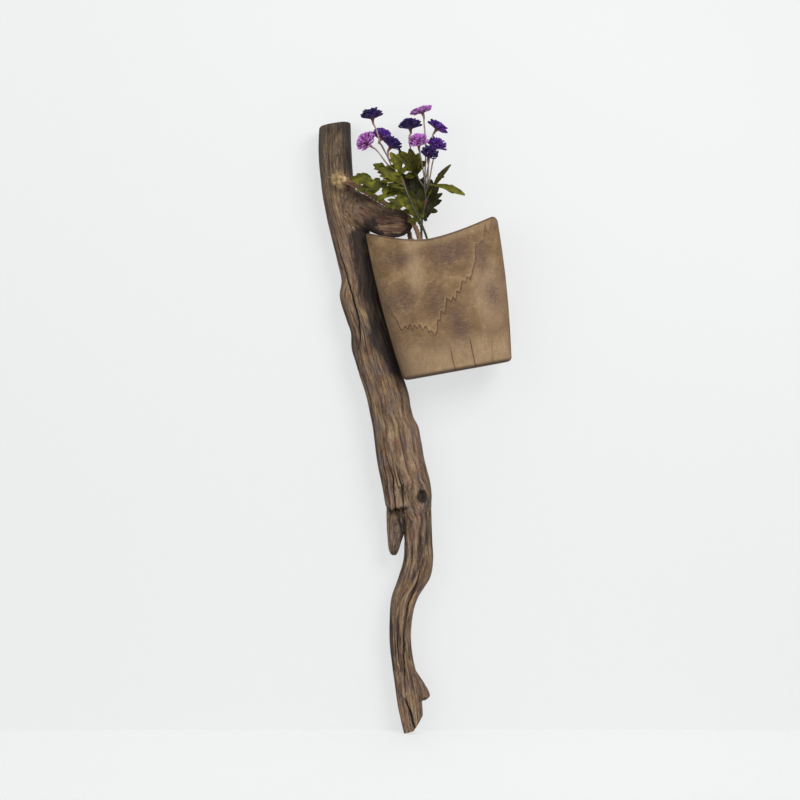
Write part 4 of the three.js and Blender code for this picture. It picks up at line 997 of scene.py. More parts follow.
GROWTH_LINE = face_spots(
    (372, 296), (380, 300), (389, 308), (392, 315), (396, 319), (399, 327), (402, 332), (405.3, 327.5),
    (407.5, 331), (409.5, 325.5), (412, 331.5), (414.3, 326.5), (417, 330), (419, 326), (422, 332),
    (425.3, 327.5), (428.5, 334), (431, 332), (433.5, 337), (436.4, 334), (437, 321), (439.5, 323),
    (440.2, 313), (444.3, 316), (446, 300), (450, 304.5), (452, 299), (454.8, 303), (456, 293),
    (458.5, 295.5), (461, 283), (464.5, 286), (466, 279), (469, 282), (471.6, 271), (474, 264),
    (474.4, 247), (477, 249.5), (480, 243), (481.8, 246), (483, 235), (483.6, 226), (484.8, 233),
    (486.6, 236), (488.4, 233), (490, 226), (490.5, 218),
)
# Blotches: middle, half width and half height on the grid
BLOTCHES = [((447, 255), 27, 16), ((404, 302), 15, 19), ((434, 302), 10, 22), ((492, 296), 13, 20),
            ((458, 328), 14, 24), ((398, 262), 20, 9), ((480, 262), 9, 18)]
BLOTCH_FADE = 1.6
PORES = [(372, 246), (389, 308)]
# Drying cracks at the foot: path, darkness and depth, where 0 leaves it a line
SPLITS = [(((449, 346), (451, 357), (454, 369)), 0.7, 7), (((468, 337), (471, 352), (474.6, 368)), 0.85, 8),
          (((490, 334), (490.6, 350), (491, 364)), 0.3, 0)]


def line_distance(spots, line):
    """Distance to a line, with its sign: positive above it."""
    best = np.full(len(spots), 1e9)
    for a, b in zip(line, line[1:]):
        step = b - a
        share = np.clip(((spots - a) @ step) / (step @ step), 0, 1)
        best = np.minimum(best, np.linalg.norm(spots - a - share[:, None] * step, axis=1))
    return np.where(spots[:, 1] > np.interp(spots[:, 0], line[:, 0], line[:, 1]), best, -best)


def pot_skin(count, rows):
    """The pot's wall from foot to rim and down inside to the floor, as rings of points."""
    angle = np.linspace(0, TURN, 4000)
    run = run_of(pot_ring(np.full(4000, 150.0), 0, angle))
    angle = np.interp(np.linspace(0, run[-1], count, endpoint=False), run, angle)
    lip, inner_lip, cove = 3.0, 2, 1.5
    rings = [pot_ring(np.full(count, h), 0, angle) for h in (0, 0.12, 0.45, 1.1, 2.0, 3.3, 5, POT_FOOT)]
    top = rim_of(angle, 0)
    for share in np.linspace(0, 1, rows)[1:]:
        rings.append(pot_ring(POT_FOOT + (top - lip - POT_FOOT) * share, 0, angle))
    for turn in np.radians(np.linspace(0, 90, 7))[1:]:
        inset = lip * (1 - math.cos(turn))
        rings.append(pot_ring(rim_of(angle, inset) - lip * (1 - math.sin(turn)), inset, angle))
    for inset in np.linspace(lip, POT_WALL - inner_lip, 5)[1:]:
        rings.append(pot_ring(rim_of(angle, inset), inset, angle))
    outside = len(rings)
    for turn in np.radians(np.linspace(90, 0, 5))[1:]:
        inset = POT_WALL - inner_lip * (1 - math.cos(turn))
        rings.append(pot_ring(rim_of(angle, inset) - inner_lip * (1 - math.sin(turn)), inset, angle))
    low_inside = rim_of(angle, POT_WALL) - inner_lip
    for share in np.linspace(0, 1, 30)[1:]:
        rings.append(pot_ring(low_inside + (POT_FLOOR + cove - low_inside) * share, POT_WALL, angle))
    for turn in np.radians(np.linspace(0, 90, 4))[1:]:
        inset = POT_WALL + cove * (1 - math.cos(turn))
        rings.append(pot_ring(np.full(count, POT_FLOOR + cove * (1 - math.sin(turn))), inset, angle))
    rings += [rings[-1] * (share, share, 1) for share in (0.75, 0.5, 0.25, 0.06)]
    return rings, outside


def split_cut(path, depth):
    """A thin wedge that opens towards the foot."""
    fine = np.linspace(0, 1, 24)
    x, z = (np.interp(fine, np.linspace(0, 1, len(path)), column) for column in path.T)
    blades = []
    for px, pz, half in zip(x + 0.25 * np.sin(fine * 31), z, 0.06 + 0.34 * fine):
        blades.append([(px - half, -56, pz), (px + half, -56, pz), (px + half * 0.6, -50 + depth * 0.6, pz),
                       (px, -50 + depth, pz), (px - half * 0.6, -50 + depth * 0.6, pz)])
    return in_pot(loft(blades))


def pot_marks(points):
    """Values for the pot's material: growth line, blotches, pale zones, painted shade in the cracks, at the
    edges, at the sides and inside, and pores.
    """
    x, y, z = points.T
    spots = points[:, [0, 2]]
    half_x, half_y = pot_half(z)
    half_y = half_y * np.abs(1 - np.minimum(np.abs(x) / half_x, 1) ** POT_POWER) ** (1 / POT_POWER)
    below, inset_x, gap = half_y + y, half_x - np.abs(x), rim_height(x) - z
    front = (y < -20) * smooth_step(9, 4, below)
    inside = np.minimum(np.minimum(below, half_y - y), inset_x)

    blotch = 0.8 * spread(spots, (-76, 120), (24, 26))
    for centre, wide, tall in BLOTCHES:
        size = (wide * GRID, tall * GRID)
        full = (0.75 + wide / 60) * spread(spots, face_spots(centre)[0], size, BLOTCH_FADE)
        blotch = np.maximum(blotch, np.minimum(1, full))
    pale = np.maximum(spread(spots, (-40, 172), (17, 48)), spread(spots, (68, 110), (30, 70)))
    pale = np.maximum(pale, 0.75 * smooth_step(95, 20, z))
    pale = np.maximum(pale, 0.6 * smooth_step(22, 6, gap) * smooth_step(-80, -40, x))

    # Drying cracks: painted shade inside each cut and along each crack's line
    split = np.zeros(len(points))
    for spots_of_split, strength, depth in SPLITS:
        path = face_spots(*spots_of_split)
        off, top = x - np.interp(-z, -path[:, 1], path[:, 0]), path[0, 1]
        within = (np.abs(off) < 1.2) & (below > 1.6) & (below < 10) & (z < top + 1) & (y < 0)
        split = np.maximum(split, within * (depth > 0))
        split = np.maximum(split, strength * bell(off, 0, 0.9) * smooth_step(top + 1, top - 12, z) * front)

    pores = sum(smooth_step(2.2, 0.9, np.linalg.norm(spots - spot, axis=1)) for spot in face_spots(*PORES))
    # A dark line under the rim, and painted shade along the foot
    edge = bell(gap, 1.6, 1.5) * (inside < 3.2)
    edge = np.maximum(edge, smooth_step(7, 1.5, z))
    # Painted shade towards both sides, more on the lower left beside the log, and inside the hollow
    sides = np.maximum(smooth_step(14, 2, inset_x) * (x > 0) * 0.55,
                       smooth_step(26, 2, inset_x) * (x < 0) * smooth_step(190, 120, z) * 0.9)
    end = np.maximum(smooth_step(5, 8, inside) * (z > 12) * 0.8, sides)

    ends = face_spots((388, 306), (399, 326), (471, 272), (478, 250))[:, 0]
    faint_left, full_left, full_right, faint_right = ends
    clear = 1 - 0.7 * smooth_step(full_left, faint_left, x) - 0.4 * smooth_step(full_right, faint_right, x)
    return {
        "pot": points, "line": line_distance(spots, GROWTH_LINE), "line_near": front * clear,
        "blotch": blotch * front, "pale": pale * front, "split": split,
        "edge": np.clip(edge + pores * front, 0, 1), "end": np.clip(end, 0, 1),
    }


def make_pot():
    """The hollowed pot, with shallow carving marks on its outside."""
    count, rows = ((500, 180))
    rings, outside = pot_skin(count, rows)
    skin, faces = loft(rings)
    outer = np.concatenate([np.repeat(np.arange(len(rings)), count) < outside, [True, False]])
    out_way = unit(np.stack([skin[:, 0] / 105, skin[:, 1] / 50, skin[:, 2] * 0], axis=1) ** 3)
    carve = 0.45 + 0.45 * layered(skin / (34, 34, 46) + 9, 2) + 0.12 * layered(skin / 9, 2)
    fade = smooth_step(0, 14, skin[:, 2]) * outer * smooth_step(-98, -60, skin[:, 0])
    skin = skin - out_way * (np.clip(carve, 0, 1.1) * fade)[:, None]
    mesh = Shape(in_pot((skin, faces))).mesh("pot")
    mesh = carved(mesh, *[split_cut(face_spots(*spots), depth) for spots, _, depth in SPLITS if depth])
    mesh = carved(mesh, sweep(ROPE.points(260), ROPE_WAY, 20))
    mesh = carved(mesh, *pot_fixing_holes())
    put(mesh, pot_marks(to_pot(points_of(mesh))))
    piece("pot_body", mesh, [carved_wood()], "planter", 38)


# Fixings of steel

def steel(name, tint, rough, marks=0.5):
    """Plain bright steel with faint scratches and dull patches."""
    look = Look(name, Metallic=1.0)
    place = look.place()
    patch = look.noise(place, 260, 4, 0.6)
    fine = look.veined(place, (3000, 3000, 260), (0, 0, 0), 2, 0.5)
    color = look.mix(look.fit(patch, 0.45, 0.75, 0, marks), srgb(*tint), srgb(*shaded(tint, 0.62)))
    return look.set(Base_Color=color, Normal=look.bump(fine, 0.06, 0.5),
                    Roughness=look.fit(patch, 0.3, 0.75, rough, rough + 0.22))


SCREW_STEEL = steel("zinc_steel", (176, 174, 166), 0.3)
HANGER_STEEL = steel("hanger_steel", (168, 168, 170), 0.26)
NAIL_STEEL = steel("dark_nail", (92, 84, 78), 0.45, 0.8)


def fixing(node, solid, look=SCREW_STEEL, sharp=30):
    """A small steel piece that is fixed to the planter."""
    Shape(solid).piece(node, [look], "planter", "steel", sharp)


def threaded(radius, length, head, head_height, pitch, depth):
    """A cross-head screw: head towards +Z with its underside at the origin, helical thread, point down."""
    angle = around(18)
    shank = 0.22 * length
    rings = []
    for z in np.linspace(-length, -0.4, int(length / pitch * 5)):
        wave = np.abs(((z / pitch - angle / TURN) % 1) * 2 - 1)
        thread = depth * np.clip(wave * 1.6 - 0.6, 0, 1) * min(1, max(0, -z - shank) / 2)
        core = (radius - depth) if -z > shank + 2 else radius - depth * max(0, -z - shank) / 2
        rings.append(hoop((core + thread) * min(1, (z + length) / 5 + 0.05), z, angle))
    rings += [hoop(radius, 0, angle), hoop(head * 0.97, 0, angle)]
    for out, up in ((1, 0.12), (1, 0.3), (0.9, 0.62), (0.66, 0.9), (0.3, 1)):
        rings.append(hoop(out * head, up * head_height, angle))
    mesh = Shape(loft(rings)).mesh("screw")
    arm, wide = 0.52 * head, 0.13 * head
    for x, y in ((arm, wide), (wide, arm)):
        cross = [[(-x * k, -y * k, z), (x * k, -y * k, z), (x * k, y * k, z), (-x * k, y * k, z)]
                 for k, z in ((0.55, 0.3 * head_height), (1, head_height + 0.5))]
        mesh = carved(mesh, loft(cross))
    return solid_of(mesh)


POT_SCREWS = [np.array([POT_WALL - pot_half(height)[0], 16.0, height]) for height in (167, 209)]
WASHER = [(2.8, 0.3), (6.2, 0.3), (6.5, 0.6), (6.5, 1.5), (6.2, 1.8), (3.1, 1.8), (2.8, 1.5)]
EYE_IN, EYE_OUT, PIVOT, EYE_BACK = 2.0, 4.0, -4.7, -8.7
RING_HALF, RING_STRAIGHT, RING_WIRE = 10.25, 10, 1.5
# Screws: radius, length, radius and height of the head, pitch and depth of the thread
POT_SCREW, HANGER_SCREW = (2.5, 50, 4.4, 3, 2.2, 0.6), (1.7, 18, 3.1, 2.2, 1.2, 0.4)


def pot_fixing_holes():
    """Bores for the pot's two screws and recesses for their washers."""
    holes = []
    for place in POT_SCREWS:
        holes.append(in_pot(sweep([place + (-48.5, 0, 0), place + (0.5, 0, 0)], 2.8, 20)))
        holes.append(in_pot(sweep([place, place + (9, 0, 0)], 6.8, 28)))
    return holes


def log_fixing_holes():
    """Bores in the log for the hangers' screws and the nail."""
    holes = []
    for x, z in HANGERS.values():
        for drop in HANGER_SCREW_DROPS:
            holes.append(sweep([(x, EYE_BACK - 16.5, z + drop), (x, EYE_BACK + 1, z + drop)], 2.0, 20))
    return [*holes, sweep([(KNOT[0], -66, KNOT[2]), (KNOT[0], -41.5, KNOT[2])], 1.6, 16)]


def make_fixings():
    """The pot's screws and washers, and both hangers."""
    for number, place in enumerate(POT_SCREWS, 1):
        screw = threaded(*POT_SCREW)
        fixing(f"pot_screw_{number}", in_pot(placed(screw, (1, 0, 0), place + (2.1, 0, 0))))
        fixing(f"pot_washer_{number}", in_pot(placed(lathed_ring(WASHER, 32), (1, 0, 0), place)))
    for label, (x, z) in HANGERS.items():
        make_hanger(label, x, z)


def make_hanger(label, x, z):
    """Folded strap with two screws and a D-ring in its eye."""
    start = math.acos(-EYE_IN / EYE_OUT)
    outline = [(-EYE_OUT, -36), (-EYE_OUT + 2, -36)]
    outline += [(EYE_OUT * math.cos(t), EYE_OUT * math.sin(t)) for t in np.linspace(-start, math.pi, 30)]
    count = len(outline)
    points = [(x + side, PIVOT + a, z + b) for side in (-7, 7) for a, b in outline]
    faces = grid_faces(2, count) + [tuple(range(count))[::-1], tuple(range(count, 2 * count))]
    holes = [sweep([(x - 12, PIVOT, z), (x + 12, PIVOT, z)], EYE_IN, 28)]
    for drop in HANGER_SCREW_DROPS:
        holes.append(sweep([(x, EYE_BACK - 2, z + drop), (x, EYE_BACK + 5, z + drop)], 2.0, 24))
    mesh = carved(Shape((points, faces)).mesh("strap"), *holes)
    mesh = modified(mesh, ("BEVEL", {"width": 0.3 * MM, "segments": 2, "limit_method": "ANGLE",
                                     "angle_limit": math.radians(40)}))
    piece(f"hanger_strap_{label}", mesh, [HANGER_STEEL], "planter", 40)
    for number, drop in enumerate(HANGER_SCREW_DROPS, 1):
        screw = threaded(*HANGER_SCREW)
        fixing(f"hanger_screw_{label}_{number}", placed(screw, (0, 1, 0), (x, EYE_BACK + 2.3, z + drop)))
    down, middle = (0, 0.3, 0.6), np.array([x, PIVOT, z])
    path = [(-RING_HALF, 0, -RING_STRAIGHT * k) for k in down]
    path += [(RING_HALF * math.cos(t), 0, RING_HALF * math.sin(t) - RING_STRAIGHT)
             for t in np.linspace(math.pi, TURN, 13)]
    path += [(RING_HALF, 0, -RING_STRAIGHT * k) for k in down[::-1]]
    bar = np.array([(-11.6, 0, 0), (-11.3, 0, 0), (11.3, 0, 0), (11.6, 0, 0)])
    ring = Shape(sweep(Curve(path).points(60) + middle, RING_WIRE, 16),
                 sweep(bar + middle, [1.1, RING_WIRE, RING_WIRE, 1.1], 16))
    ring.piece(f"hanger_ring_{label}", [HANGER_STEEL], f"ring_{label}", "steel", 50)


# Rope, knot and nail

HOLE_X, _, HOLE_Z = pot_to_world([(-32, 0, 189)])[0]
POT_BACK = -11.0
ROPE = Curve([
    (16, -70, -37), (30, -67.5, -41.5), (50, -62, -53.5), (72, -54.5, -65.3), (91, -50, -75.6),
    (105, -47.5, -82.8), (115, -47, -89), (123, -50, -97.5), (129.5, -56, -110), (134, -61, -123),
    (135.5, -62, -136), (133.5, -51, HOLE_Z + 6), (HOLE_X + 2, -40, HOLE_Z + 1),
    (HOLE_X, POT_BACK - 12, HOLE_Z), (HOLE_X, POT_BACK - 3.5, HOLE_Z + 0.6),
    (HOLE_X, POT_BACK / 2 - 1, HOLE_Z + 6),
    (HOLE_X - 1, POT_BACK / 2, HOLE_Z + 14), (HOLE_X - 5, POT_BACK / 2 - 3, HOLE_Z + 30), (121, -17, -125),
    (119, -25, -116), (115, -32, -105), (108, -37, -93), (96, -40.5, -80.5), (84, -43, -71.5),
    (64, -47.5, -58.5), (46, -52.5, -47.5), (32, -57.5, -38.5), (18, -60, -32),
])
KNOT = np.array([9.95, -67.4, -34.0])
STRANDS = 3
NAIL_SEAT, NAIL_HAIRS = -74.6, -74.2
NAIL = [(0.1, -34), (0.7, -32.4), (1.3, -30), (1.3, -0.5), (1.5, 0), (2.3, 0.1), (2.6, 0.45), (2.5, 0.8),
        (1.9, 1.2), (1.1, 1.4), (0.3, 1.45)]


def jute(name, dark, plain, pale):
    """Twisted jute: fine fibres along each strand, paler high spots and painted shade in the grooves between
    the strands.
    """
    look = Look(name, Sheen_Weight=0.25, Sheen_Roughness=0.6)
    fibre = look.veined(look.value("thread", "Vector"), (5.5, 0.16, 1), (0, 0, 0), 4, 0.65, 0.5)
    patch = look.veined(look.place(), (90, 90, 90), (0, 0, 0), 3)
    color = look.ramp(fibre, (0.25, dark), (0.5, plain), (0.78, pale))
    color = look.paint(color, (look.fit(patch, 0.45, 0.72, 0, 0.6), *dark),
                       # Painted shade in the grooves between the strands
                       (look.value("groove"), *shaded(dark, 0.42)))
    return look.set(Base_Color=color, Roughness=look.fit(fibre, 0.2, 0.8, 0.95, 0.8),
                    Normal=look.bump(fibre, 0.35, 0.9))


def twisted(shape, path, radius, pitch=21.0, sides=12):
    """Strands twisted round one another along a dense path."""
    across, up = sides_of(path)
    run = run_of(path)
    centre = np.vstack([np.repeat(path, sides, axis=0), path[:1], path[-1:]])
    along = np.concatenate([np.repeat(run, sides), [0, run[-1]]])
    side = np.concatenate([np.tile(np.arange(sides) * 1.0, len(path)), [0, 0]])
    for k in range(STRANDS):
        turn = TURN * (run / pitch + k / STRANDS)
        orbit = radius * 0.485 * (1 + 0.05 * noise_at(run / 6, k, 0))
        middle = path + (across * np.cos(turn)[:, None] + up * np.sin(turn)[:, None]) * orbit[:, None]
        strand = sweep(middle, radius * 0.535 * (1 + 0.06 * noise_at(run / 4, 7, k)), sides)
        # Points near the rope's middle lie in the grooves between the strands and take painted shade
        out = np.linalg.norm(strand[0] - centre, axis=1)
        shape.add(strand, thread=np.stack([side + along * 0.45, along, side * 0 + k * 9], axis=1),
                  groove=smooth_step(0.62 * radius, 0.3 * radius, out))


def hair(shape, start, way, length, thickness, droop, bend):
    """One loose fibre."""
    share = np.linspace(0, 1, 7)[:, None]
    path = start + way * length * share + (bend - np.array([0, 0, droop])) * share ** 2 * length
    fibre = sweep(path, np.linspace(thickness, thickness * 0.35, 7), 4)
    shape.add(fibre, thread=(0.0, float(length), float(start[0])), groove=0.0)


def make_rope():
    """The sling, with loose fibres on its visible run."""
    rope = Shape()
    count = 420
    path = ROPE.points(count)
    twisted(rope, path, ROPE_RADIUS)
    for k in random.integers(6, int(count * 0.3), 150):
        way = unit(random.normal(size=3) + (0, -0.9, 0.7))
        hair(rope, path[k] + way * 3.4, way, random.uniform(1.5, 4), 0.09, 0.3, random.normal(size=3) * 0.25)
    look = jute("jute_rope", (84, 56, 36), (128, 92, 60), (170, 134, 92))
    rope.piece("rope_sling", [look], "planter", "jute", 60)


def make_knot():
    """An overhand knot whose ends are teased out into a straw-coloured tuft, and the nail through it."""
    knot = Shape()
    t = np.linspace(0, TURN, 170)
    x, z, y = np.sin(t) + 2 * np.sin(2 * t), np.cos(t) - 2 * np.cos(2 * t), -np.sin(3 * t)
    twisted(knot, np.stack([x * 2.25, y * 3.6, z * 2.35], axis=1) + KNOT + (0.4, -0.6, -0.8), 3.1, 15, 10)
    for _ in range(620):
        angle = math.radians(random.uniform(60, 300))
        lean = random.uniform(-0.75, 0.1)
        way = unit([math.cos(angle), lean, math.sin(angle)])
        start = KNOT + way * (8.2, 6, 8.2) * random.uniform(0.45, 0.95)
        reach = random.uniform(4, 8.5) * (1.15 if 80 < math.degrees(angle) < 215 else 0.85)
        hair(knot, start, way, reach, random.uniform(0.13, 0.3), random.uniform(0, 0.35),
             random.normal(size=3) * 0.3)
    for _ in range(70):
        way = unit([random.uniform(-1, 1), -0.55, random.uniform(-1, 1)])
        start = (KNOT[0], NAIL_HAIRS, KNOT[2]) + way * 1.5
        hair(knot, start, way, random.uniform(3, 6), random.uniform(0.2, 0.34), 0.2,
             random.normal(size=3) * 0.35)
    look = jute("jute_frayed", (122, 94, 56), (178, 150, 100), (210, 186, 138))
    knot.piece("rope_knot", [look], "planter", "jute", 60)
    nail = placed(lathe(NAIL, 24), (0, -1, 0), (KNOT[0], NAIL_SEAT, KNOT[2]))
    fixing("rope_nail", nail, NAIL_STEEL, 35)


# Artificial flowers, measured from the bunch's own origin

BUNCH = np.array([141.5446, -61, -132.019])
FOOT_X, FOOT_TOP, FOOT_TIP = 24, -104.49, -180.49
STEM_RADIUS, BRANCH_RADIUS, HEAD_DEPTH = 1.8, 1.2, 9
MAIN = {
    "left": Curve([(24, 0, FOOT_TOP - 8), (24, 0, FOOT_TOP), (16, -3, -55), (7, -6, -1), (-2, -12, 24),
                   (-18.5, -21, 56.6), (-34.5, -20, 96.6)]),
    "right": Curve([(24, 0, FOOT_TOP - 8), (24, 0, FOOT_TOP), (9, 6, -56), (-2.5, 11, -1), (-2.5, 8, 32.6),
                    (3.9, 4, 67.8)]),
}
# Each flower: its place, the way it faces, its radius, its colour and its branch
FLOWERS = [
    ((-82.5, -1, 203.8), (-0.15, -0.2, 0.97), 19, "navy",
     [(-34.5, -20, 96.6), (-47.3, -17, 112.6), (-58.5, -13, 136.6), (-68.1, -8, 155), (-76, -4, 180)]),
    ((-92.1, -27, 157.4), (-0.6, -0.6, 0.5), 18, "pink",
     [(-47.3, -17, 112.6), (-58, -21, 122), (-74.5, -23, 143)]),
    ((-66, 22, 174), (0.35, 0.25, 0.9), 17.5, "violet", [(-63, -11, 146), (-67, 2, 155)]),
    ((-49, -17, 155), (0.5, -0.1, 0.85), 17, "navy", [(-54, -15, 126), (-56, -16, 136)]),
    ((-21.7, 11, 189.4), (-0.1, -0.25, 1), 19, "navy",
     [(2.2, 2, 86), (-8.9, 6, 104), (-19.6, 10, 144.6), (-23, 11, 170)]),
    ((-4.1, -9, 211.8), (-0.3, 0, 0.95), 19, "pink",
     [(3.9, 4, 67.8), (2.2, 2, 86), (3.4, -4, 152.6), (0.7, -8, 190)]),
    ((25, 16, 187.8), (0.55, 0, 0.83), 18.5, "violet", [(2.2, 2, 92), (9, 9, 130), (13, 14, 165)]),
    ((-8.9, -33, 157.4), (-0.1, -0.5, 0.86), 16.5, "pink", [(2.4, 1, 95), (-2, -11, 120), (-6, -22, 138)]),
    ((21, -15, 154.2), (0.35, -0.1, 0.93), 17.5, "violet",
     [(3.2, 3, 78), (9, -5, 97), (13.5, -11, 121.4), (16.5, -13, 136)]),
    ((10, -44, 137), (0.25, -0.6, 0.75), 15, "navy", [(6, -2, 86), (7, -18, 106), (7, -31, 120)]),
]
# Flowers with flatter crowns, by number
FLATTER = {6: 0.5, 7: 0.7}
# Each leaf: its main stem or the number of its branch, the share of the way up, its base, tip and width
LEAVES = [
    ("left", 0.985, (-72.9, -19, 88.6), (-117.7, -23, 99.8), 26),
    ("left", 0.93, (-60.1, -30, 86), (-104.9, -33, 79), 25),
    (0, 0.16, (-54, -7, 105), (-80, 3, 126), 20),
    ("left", 0.96, (-40, -31, 91), (-70, -39, 113), 25),
    (0, 0.07, (-36, -30, 106), (-52, -38, 138), 22),
    (4, 0.2, (-13, -3, 108), (-38, -16, 143), 29),
    ("right", 0.99, (14, 8, 86), (43, 6, 125), 17),
    (8, 0.2, (20, -9, 89), (65, -20, 74), 24),
    ("right", 0.93, (-9, 14, 72), (-46, 20, 97), 30),
    ("right", 0.84, (7, 14, 50), (20, 20, 84), 26),
    ("left", 0.76, (-26, -31, 59), (-58.5, -42, 53), 22),
    ("left", 0.82, (-50, -33, 70), (-80, -38, 62), 17),
    ("right", 0.74, (-9, 3, 36), (-33, -4, 74), 27),
    ("left", 0.86, (-33, -12, 76), (-66, -4, 86), 24),
]
# More lobes for the leaves that fill the middle of the bunch: start, end and width
FILLING = {
    6: [((-14, -4, 112), (-22, -12, 147), 15), ((-12, -4, 112), (-8, -10, 140), 14),
        ((-10, -3, 112), (3, -8, 128), 13), ((-16, -4, 110), (-34, -12, 134), 13)],
    9: [((-12, 14, 74), (-16, 18, 112), 18), ((-14, 14, 76), (-34, 20, 112), 17),
        ((-10, 14, 70), (2, 18, 106), 16), ((-18, 15, 78), (-52, 18, 84), 14),
        ((-22, 15, 82), (-50, 20, 108), 14)],
    10: [((6, 12, 48), (-4, 14, 84), 17), ((8, 14, 62), (12, 16, 102), 15), ((5, 10, 40), (15, 12, 66), 13),
         ((4, 10, 34), (-7, 12, 62), 12), ((9, 14, 66), (24, 18, 92), 12)],
    13: [((-8, 6, 40), (-5, 8, 76), 15), ((-12, 6, 50), (-26, 10, 86), 17), ((-10, 8, 60), (4, 10, 92), 16),
         ((-16, 8, 58), (-40, 8, 74), 14)],
}
PETAL_COLORS = {
    "navy": ((118, 56, 70), (88, 46, 118), (42, 27, 84), (112, 70, 160)),
    "violet": ((130, 60, 98), (126, 64, 162), (88, 45, 146), (164, 112, 206)),
    "pink": ((138, 62, 116), (192, 112, 194), (184, 106, 194), (228, 186, 230)),
}
# Layers of petals: count, share of the radius, rise, root height, width, bends and cup
PETAL_LAYERS = [
    (8, 1.04, 7.6, 1.4, 0.6, (0.95, 1.45), 0.1), (8, 1.0, 11.2, 2.2, 0.56, (1.0, 1.1), 0.14),
    (7, 0.85, 14.4, 3.0, 0.52, (1.15, 0.9), 0.18), (6, 0.62, 16.6, 3.8, 0.46, (1.3, 0.78), 0.22),
    (4, 0.34, 17.6, 4.6, 0.36, (1.5, 0.7), 0.28),
]
CALYX = [(0.15, 4.3), (1.3, 4.3), (1.3, -1.2), (2.3, -1.2), (2.6, 0), (3.3, 1.6), (3.9, 3.2), (4.3, 4.6),
         (3.6, 6.2), (2.2, 7.2), (0.8, 7.6)]


def petal_look(name):
    """Dyed cloth petals: reddish at the root, deep at the edge, with faint veins and a soft sheen."""
    root, middle, edge, pale = PETAL_COLORS[name]
    look = Look(f"petal_{name}", Sheen_Weight=0.06, Sheen_Roughness=0.5, Specular_IOR_Level=0.12)
    petal_place = look.value("petal", "Vector")
    along, across, _ = look.parts(petal_place)
    vein = look.veined(petal_place, (0.9, 3.4, 40), (0, 0, 0), 3, 0.6)
    shade = look.veined(petal_place, (0.6, 0.6, 3.1), (0, 0, 0), 1)
    weave = look.noise(look.place(), 2600, 2, 0.5)
    color = look.paint(
        look.ramp(along, (0.1, root), (0.42, middle), (0.85, edge)),
        (look.fit(vein, 0.5, 0.68, 0, 0.7), *pale),
        (look.fit(shade, 0.35, 0.65, 0.5, 0), *shaded(edge, 0.55)),
        # Painted shade towards each petal's sides, where the petals overlap
        (look.fit(look.size(across), 0.55, 1.0, 0, 0.55), *shaded(edge, 0.5)),
    )
    relief = look.plus(vein, look.times(weave, 0.3))
    return look.set(Base_Color=color, Roughness=look.fit(weave, 0.3, 0.7, 0.72, 0.9),
                    Normal=look.bump(relief, 0.3, 0.7))


def calyx_look():
    """Dark reddish scales with fine streaks."""
    look = Look("calyx", Specular_IOR_Level=0.3)
    streak = look.veined(look.value("petal", "Vector"), (2, 14, 20), (0, 0, 0), 3)
    color = look.ramp(streak, (0.3, (66, 34, 38)), (0.55, (104, 56, 54)), (0.8, (122, 82, 66)))
    return look.set(Base_Color=color, Roughness=look.fit(streak, 0.2, 0.8, 0.75, 0.6),
                    Normal=look.bump(look.noise(look.place(), 1800, 3), 0.15, 0.6))


def stem_look():
    """Plastic-coated wire stems: dark green low down, pale brown higher, reddish under each flower."""
    look = Look("stem", Specular_IOR_Level=0.4)
    streak = look.veined(look.place(), (900, 900, 60))
    low = look.ramp(streak, (0.3, (34, 36, 22)), (0.6, (58, 60, 36)), (0.8, (76, 74, 46)))
    high = look.ramp(streak, (0.3, (104, 86, 78)), (0.58, (152, 132, 122)), (0.8, (196, 178, 168)))
    color = look.mix(look.fit(look.value("height"), 70, 125), low, high)
    color = look.paint(color, (look.value("near_head"), 94, 48, 48))
    return look.set(Base_Color=color, Roughness=look.fit(streak, 0.2, 0.8, 0.66, 0.5),
                    Normal=look.bump(streak, 0.2, 0.6))


def leaf_look():
    """Moulded cloth leaves: olive, paler along the veins and darker between them, with painted shade on the
    leaves inside the bunch.
    """
    look = Look("leaf", Specular_IOR_Level=0.12)
    along, across, _ = look.parts(look.value("blade", "Vector"))
    off = look.size(across)
    slant = look.minus(look.times(along, 5.0), look.times(off, 1.7))
    saw = look.size(look.minus(look.math("FRACT", slant), 0.5))
    side = look.times(look.fit(saw, 0.0, 0.09, 1, 0), look.fit(off, 0.55, 0.95, 1, 0))
    vein = look.largest(look.fit(off, 0.02, 0.11, 1, 0), look.times(side, 0.7))
    patch = look.veined(look.place(), (70, 70, 70), (0, 0, 0), 4, 0.6)
    fine = look.noise(look.place(), 900, 3, 0.6)
    color = look.paint(
        look.ramp(patch, (0.34, (34, 34, 4)), (0.5, (70, 69, 9)), (0.66, (108, 106, 24))),
        (look.times(vein, 0.3), 128, 126, 52),
        (look.fit(along, 0.35, 0.0, 0, 0.6), 44, 44, 18),
        # Painted shade on leaves further back and inside the bunch
        (look.value("dark"), 24, 22, 10),
        (look.fit(fine, 0.4, 0.7, 0, 0.35), 52, 56, 20),
    )
    relief = look.minus(look.times(fine, 0.35), look.times(vein, 0.8))
    return look.set(Base_Color=color, Roughness=look.fit(fine, 0.3, 0.7, 0.62, 0.5),
                    Normal=look.bump(relief, 0.5, 0.7))


def in_bunch(solid):
    """A solid of the bunch's own frame in the part's frame."""
    points, faces = solid
    return points + BUNCH, faces


